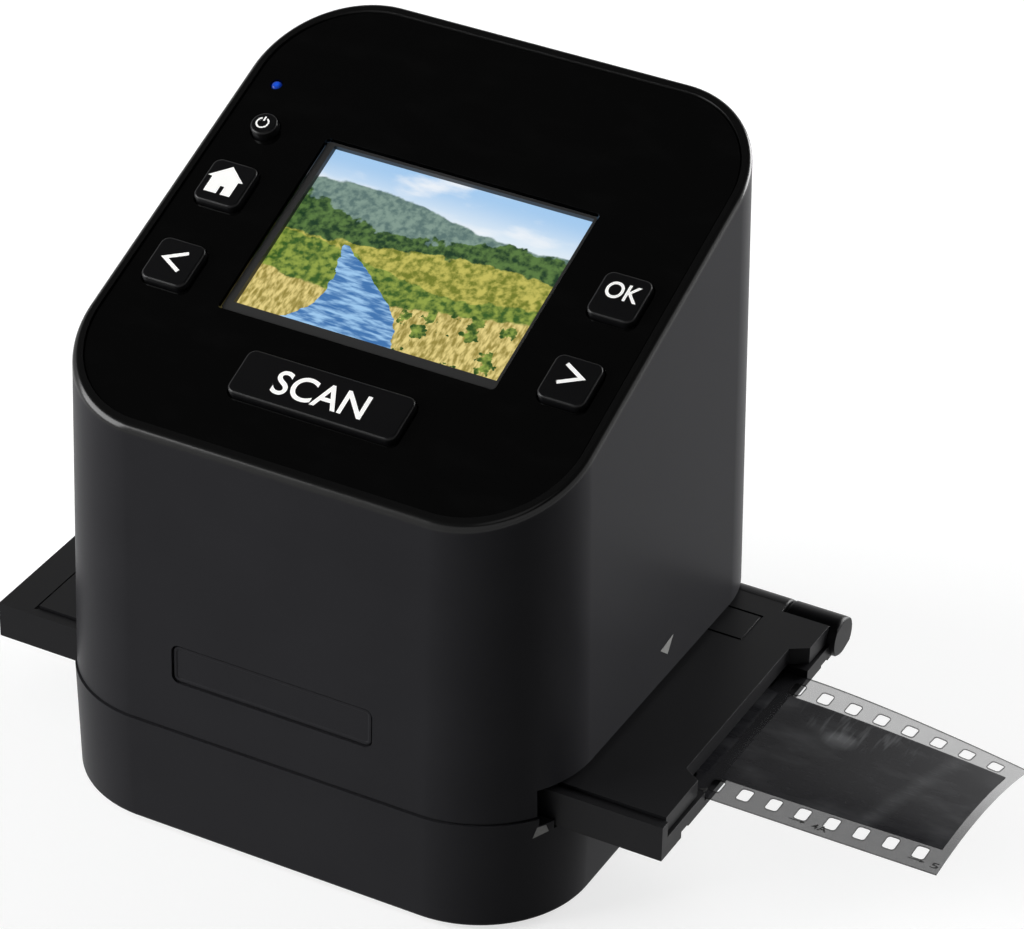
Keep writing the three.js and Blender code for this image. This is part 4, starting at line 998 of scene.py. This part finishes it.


# glow is an emission strength. On ink it is painted light, as ink gives no light of its own.
def ink_finish(name, dark, light, glow=0.0):
    patterned(name, 0.4 * MM, grey(dark, 0.97), grey(light, 0.97), 0.5, spread=0, detail=2,
              Specular_IOR_Level=0.3, Emission_Color=grey(1), Emission_Strength=glow)


# The white ink's emission of 0.25 is a painted glow that makes the print brighter than the lamps light it.
ink_finish("print_white", 0.84, 0.90, 0.25)
# The same pale grey also colours the painted highlight on the base's corner.
ink_finish("pointer_ink_and_painted_glint", 0.16, 0.24)
ink_finish("film_ink", 0.004, 0.010)
patterned("steel", 0.5 * MM, (0.42, 0.43, 0.45, 1), (0.6, 0.61, 0.62, 1), 0.22, 0.2, stretch=(1, 1, 6),
          Metallic=1.0)
patterned("foot_rubber", 0.25 * MM, grey(0.012), grey(0.022), 0.75, depth=0.02 * MM)
patterned("white_plastic", 6 * MM, (0.78, 0.78, 0.76, 1), (0.86, 0.86, 0.84, 1), 0.4, detail=2)
patterned("screen_grey", 0.2 * MM, grey(0.016), grey(0.023), 0.42, 0.08, depth=0.003 * MM)

blue = Shader("status_blue")
lamp_world = panel @ Vector((lamp_place.x, lamp_place.y, lamp_high.z))
off_centre = ((blue.x - lamp_world.x) ** 2 + (blue.y - lamp_world.y) ** 2) ** 0.5
glow = 1 - off_centre.step(0.1 * MM, 0.85 * MM)
blue.finish(Base_Color=(0.002, 0.01, 0.08, 1), Roughness=0.3, Specular_IOR_Level=0.2,
            Emission_Color=blue.mix(glow, (0.0, 0.008, 0.10, 1), (0.008, 0.075, 0.60, 1)),
            Emission_Strength=1.0)

board = Shader("board_green")
weave = board.noise(0.6 * MM, 3)
tracks = board.node("ShaderNodeTexVoronoi", {"feature": "DISTANCE_TO_EDGE"},
                    {"Vector": board.place, "Scale": 1 / (3.5 * MM)}) < 0.06
lacquer = board.mix(weave, (0.006, 0.05, 0.022, 1), (0.01, 0.075, 0.03, 1))
board.finish(Base_Color=board.mix(tracks, lacquer, (0.02, 0.14, 0.05, 1)), Roughness=weave * 0.1 + 0.32)

amber = Shader("cable_amber")
lines = amber.node("ShaderNodeTexWave", {"bands_direction": "X"}, {"Vector": amber.place, "Scale": 320.0})
amber.finish(Base_Color=amber.mix(lines, (0.30, 0.13, 0.02, 1), (0.45, 0.22, 0.05, 1)), Roughness=0.35)

clear = Shader("lens_glass")
dust = clear.noise(1.2 * MM, 4).step(0.6, 0.8)
clear.finish(Base_Color=(0.8, 0.86, 0.9, 1), Roughness=dust * 0.08 + 0.02, Transmission_Weight=0.9, IOR=1.5)
print(len(materials), "finishes")

# %% [markdown]
# The screen is switched on. Its picture is a plain landscape of the builder's own: rolling
# meadows under a pale sky with a stream, in the greens, golds and blues that such a screen
# shows. Each band of land is a wavy line, and a fine noise breaks it into leaves and grass. It
# is light, not ink, so it goes into the emission.

# %% Picture on the screen
picture = Shader("screen_picture")
picture_size, picture_centre = Vector((44.4, 32.2)) * MM, Vector((0.35, -1.3)) * MM
picture_low = picture_centre - picture_size / 2
along = (picture.x - picture_low.x) / picture_size.x
slope_place = picture.y * cos(tilt) + (picture.z - rim_height) * sin(tilt)
above = (slope_place - picture_low.y) / picture_size.y
leaves = picture.noise(1.1 * MM, 6)
tufts = picture.noise(2.6 * MM, 5)
grass = picture.noise(0.9 * MM, 5, stretch=(1.6, 0.6, 0.6))


def band(level, sway, waves, shift, rough):
    """A mask that is 1 below a wavy line across the picture."""
    line = (along * waves + shift).maths("SINE") * sway + level + (tufts - 0.5) * rough
    return (line - above).step(-0.006, 0.006)


def foliage(dark, light, texture=leaves):
    return picture.mix(texture.step(0.34, 0.66), (*dark, 1), (*light, 1))


sky = picture.mix(above.step(0.7, 1.0), (0.78, 0.86, 0.92, 1), (0.36, 0.58, 0.85, 1))
clouds = picture.noise(9 * MM, 5, stretch=(0.6, 1.6, 1.6)).step(0.5, 0.7)
scene_colour = picture.mix(clouds * 0.8, sky, (0.93, 0.94, 0.95, 1))
land = [
    (band(0.80, 0.05, 5.0, 0.6, 0.05), foliage((0.10, 0.17, 0.16), (0.22, 0.32, 0.27))),
    (band(0.69, 0.06, 6.5, 2.3, 0.16), foliage((0.010, 0.040, 0.015), (0.10, 0.19, 0.05))),
    (band(0.56, 0.05, 4.2, 4.4, 0.10), foliage((0.16, 0.19, 0.02), (0.55, 0.50, 0.11))),
    (band(0.44, 0.06, 5.2, 1.2, 0.12), foliage((0.035, 0.10, 0.015), (0.28, 0.36, 0.06))),
    (band(0.30, 0.07, 3.6, 3.6, 0.06), foliage((0.30, 0.24, 0.05), (0.78, 0.64, 0.24), grass)),
]
for mask, colour in land:
    scene_colour = picture.mix(mask, scene_colour, colour)
bend = (above * 6.0 + 0.8).maths("SINE") * 0.10 + 0.30
stream_width = (0.52 - above).maths("MAXIMUM", 0.0) * 0.42
edge = (along - bend).maths("ABSOLUTE") - stream_width + (tufts - 0.5) * 0.06
ripples = picture.noise(1.4 * MM, 4, stretch=(0.45, 2.2, 2.2))
water = picture.mix(ripples.step(0.38, 0.68), (0.05, 0.17, 0.42, 1), (0.34, 0.58, 0.85, 1))
scene_colour = picture.mix((edge < 0.0) * (above < 0.5), scene_colour, water)
bushes = picture.node("ShaderNodeTexVoronoi", {}, {"Vector": picture.place, "Scale": 1 / (4.2 * MM)})
clumps = (bushes + (leaves - 0.5) * 0.9 < 0.30) * (along > 0.55) * (above < 0.33)
scene_colour = picture.mix(clumps, scene_colour, foliage((0.02, 0.07, 0.01), (0.30, 0.40, 0.07)))
picture.finish(Base_Color=grey(0.01), Roughness=picture.noise(12 * MM) * 0.05 + 0.10,
               Specular_IOR_Level=0.3, Emission_Color=scene_colour, Emission_Strength=1.0)
print("picture made of", len(land), "bands of land")

# %% [markdown]
# Film is see-through: a light silver grey along its edges, and dense and dark with smudges and
# streaks in each 24 by 36 mm frame. The Alpha socket carries the difference. Light passes two
# faces of the strip, so the edges are half see-through at each face and the frames nearly solid.
# The front edge is made denser than the back edge, so that it looks darker. That is painted
# shade, for the shade that lies under the film's front.
# The cut edges of the strip and of its holes scatter light, so they show as thin dark lines,
# worked out from the hole's size.

# %% Film
strip = Shader("film")
frame_pitch, frame_length, frame_height = 38 * MM, 36 * MM, 24 * MM
frame_end = film_high.x - 1.5 * MM
across = (strip.y - film_centre_y).maths("ABSOLUTE")
along_frame = ((strip.x - (frame_end + frame_pitch * 10)) / frame_pitch).maths("FRACT") * frame_pitch
along_frame = along_frame.maths("WRAP", frame_pitch, 0.0)
in_frame = ((along_frame > (frame_pitch - frame_length)) * (across < frame_height / 2)
            * (strip.x < frame_end))


def patch(x, y, width, depth):
    """A soft oval mask about a place on the film."""
    away_x, away_y = (strip.x - x * MM) / (width * MM), (strip.y - y * MM) / (depth * MM)
    return 1 - (away_x ** 2 + away_y ** 2).step(0.0, 1.0)


smudge = strip.noise(7 * MM, 5, stretch=(0.7, 1.6, 1))
scratch = strip.noise(0.5 * MM, 4, stretch=(0.35, 2.0, 1))
streak = strip.noise(1.1 * MM, 3, stretch=(1.4, 0.16, 1)).step(0.50, 0.72)
slant = (strip.x - strip.y * 0.23 - 85.4 * MM).maths("ABSOLUTE")
light = (smudge.step(0.42, 0.80) * 0.26 + streak * patch(73, 10.5, 14, 7) * 0.45
         + patch(70.8, 6, 3.4, 2.6) * smudge * 0.9 + (1 - slant.step(0, 2.2 * MM)) * scratch * 0.30
         + scratch.step(0.55, 0.8) * 0.10)
image = strip.mix(light, (0.014, 0.014, 0.016, 1), (0.13, 0.133, 0.138, 1))

hole_rim = 0.12 * MM
beside = (((strip.x - last_hole) / pitch + 100.5).maths("FRACT") - 0.5) * pitch
past_x = (beside.maths("ABSOLUTE") - (hole_length / 2 - hole_corner)).maths("MAXIMUM", 0.0)
past_y = ((across - hole_rows / 2).maths("ABSOLUTE") - (hole_width / 2 - hole_corner)).maths("MAXIMUM", 0.0)
near_hole = (past_x ** 2 + past_y ** 2) ** 0.5 < hole_corner + hole_rim
near_hole = near_hole * (strip.x < last_hole + pitch / 2)
outer_rim = across > film_width / 2 - hole_rim
cut_edge = near_hole.maths("MAXIMUM", outer_rim) * (1 - in_frame)

edge_grey = strip.mix(strip.noise(5 * MM), grey(0.020, 1.1), grey(0.030, 1.1))
# Denser towards the front edge: painted shade for the shaded floor under the film's front, on top of the
# film's own edge density.
edge_density_and_front_shade = 0.575 - (strip.y + 12 * MM).step(0, 24 * MM) * 0.275
strip.finish(
    Base_Color=strip.mix(in_frame, strip.mix(cut_edge, edge_grey, grey(0.010)), image),
    Roughness=smudge * 0.08 + 0.12, Specular_IOR_Level=0.12,
    Alpha=(1 - in_frame) * (edge_density_and_front_shade + cut_edge * (0.75 - edge_density_and_front_shade)) + in_frame * 0.975)
print("film shows frames of", round(frame_length / MM), "by", round(frame_height / MM), "mm")

# %% [markdown]
# Every piece now gets its body and its material. A piece that stands for a CAD node
# hides it, and the nodes that stay get the material of their own slot.

# %% Dress the pieces
def dress(piece, slot, *stands_for, body="housing", material=None):
    piece.data.materials.clear()
    piece.data.materials.append(materials[material or slot])
    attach(piece, body)
    if stands_for:
        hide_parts(*stands_for)


dress(upper, "housing_black", "upper_housing")
dress(base, "housing_black", "base_housing")
dress(plate, "panel_gloss", "top_panel")
dress(badge, "housing_black", "front_badge")
dress(lamp, "status_blue", "status_light_pipe")
dress(pointer, "print_white", material="pointer_ink_and_painted_glint")
dress(painted_corner_glint, "print_white", material="pointer_ink_and_painted_glint")
dress(card_liner, "inner_black")
dress(tongue_cover, "inner_black")
dress(contacts, "steel")
dress(lid, "carrier_black", "carrier_lid", body="lid")
dress(carrier, "carrier_black", "carrier_frame", body="film_carrier")
dress(pin, "steel", "hinge_pin", body="film_carrier")
dress(film, "film", "film_strip", body="film")
dress(film_marks, "film", body="film", material="film_ink")
for piece in (film, film_marks):
    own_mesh(piece)
for name, piece in keys.items():
    dress(piece, "button_black", f"{name}_button", body=f"{name}_key")
    dress(legends[name], "print_white", body=f"{name}_key")
for piece, node in zip(foot_pieces, feet):
    dress(piece, "foot_rubber", node)
for piece, node in zip(screw_pieces, screws):
    dress(piece, "steel", node)
for name, node in nodes.items():
    node.data.materials.clear()
    node.data.materials.append(materials[slot_of[name]])
print(sum(not node.hide_render for node in nodes.values()), "CAD nodes stay in view")

# %% [markdown]
# The scanner stands on a pale floor in a plain studio. The floor and a ring of backdrop are
# white to the camera and in reflections, and ordinary pale card to all other light, so that
# they don't light the object twice. Above, the studio is dark, which is what a glossy panel
# needs to look black. Three large soft lamps do the lighting.

# %% Floor and backdrop
card, backdrop_height = 0.4, 3


def studio_card(name, white):
    """Pale card that the camera and reflections see as white, with shadows kept."""
    shader = Shader(name)
    rays = [shader.node("ShaderNodeLightPath", output=f"Is {kind} Ray")
            for kind in ("Camera", "Glossy", "Transmission")]
    seen = rays[0].maths("MAXIMUM", rays[1]).maths("MAXIMUM", rays[2])
    plain = shader.node("ShaderNodeBsdfDiffuse", {}, {"Color": grey(card)})
    lit = shader.node("ShaderNodeEmission", {}, {"Color": grey(1), "Strength": white})
    both = shader.node("ShaderNodeAddShader", {}, {0: plain, 1: lit})
    mixed = shader.node("ShaderNodeMixShader", {}, {0: seen, 1: plain, 2: both})
    shader.put(shader.tree.nodes["Material Output"], {"Surface": mixed})
    shader.tree.nodes.remove(shader.surface)
    return shader.material


only()
bpy.ops.mesh.primitive_plane_add(size=9, location=(0, 0, foot_low.z))
floor = added("floor")
floor.data.materials.append(studio_card("floor_card", 0.68))
only()
bpy.ops.mesh.primitive_cylinder_add(vertices=96, radius=4, depth=backdrop_height, end_fill_type="NOTHING",
                                    location=(0, 0, backdrop_height / 2 + foot_low.z))
backdrop = added("backdrop")
backdrop.data.materials.append(studio_card("backdrop_card", 1.0))
print("floor and backdrop made")

# %% Lamps and world
lamp_aim = Vector((0, 0, 45 * MM))


def soft_lamp(name, bearing, height, distance, size, power):
    """A square soft lamp that looks at the scanner from a bearing and height in degrees."""
    away = direction(radians(bearing), radians(height))
    place = lamp_aim + away * distance
    only()
    bpy.ops.object.light_add(type="AREA", location=place, rotation=away.to_track_quat("Z", "Y").to_euler())
    source = bpy.context.object
    source.name = name
    source.data.shape, source.data.size, source.data.energy = "SQUARE", size, power


soft_lamp("lamp_front_left", -55, 20, 1.0, 0.7, 16.0)
soft_lamp("lamp_right", 150, 10, 0.9, 0.6, 19.0)
soft_lamp("lamp_high", 20, 62, 1.4, 0.6, 0.8)
world = bpy.data.worlds.new("studio")
bpy.context.scene.world = world
world.use_nodes = True
background = world.node_tree.nodes["Background"].inputs
background["Color"].default_value = grey(1)
background["Strength"].default_value = 0.05
bpy.context.scene.view_settings.view_transform = "Standard"
print("three soft lamps")
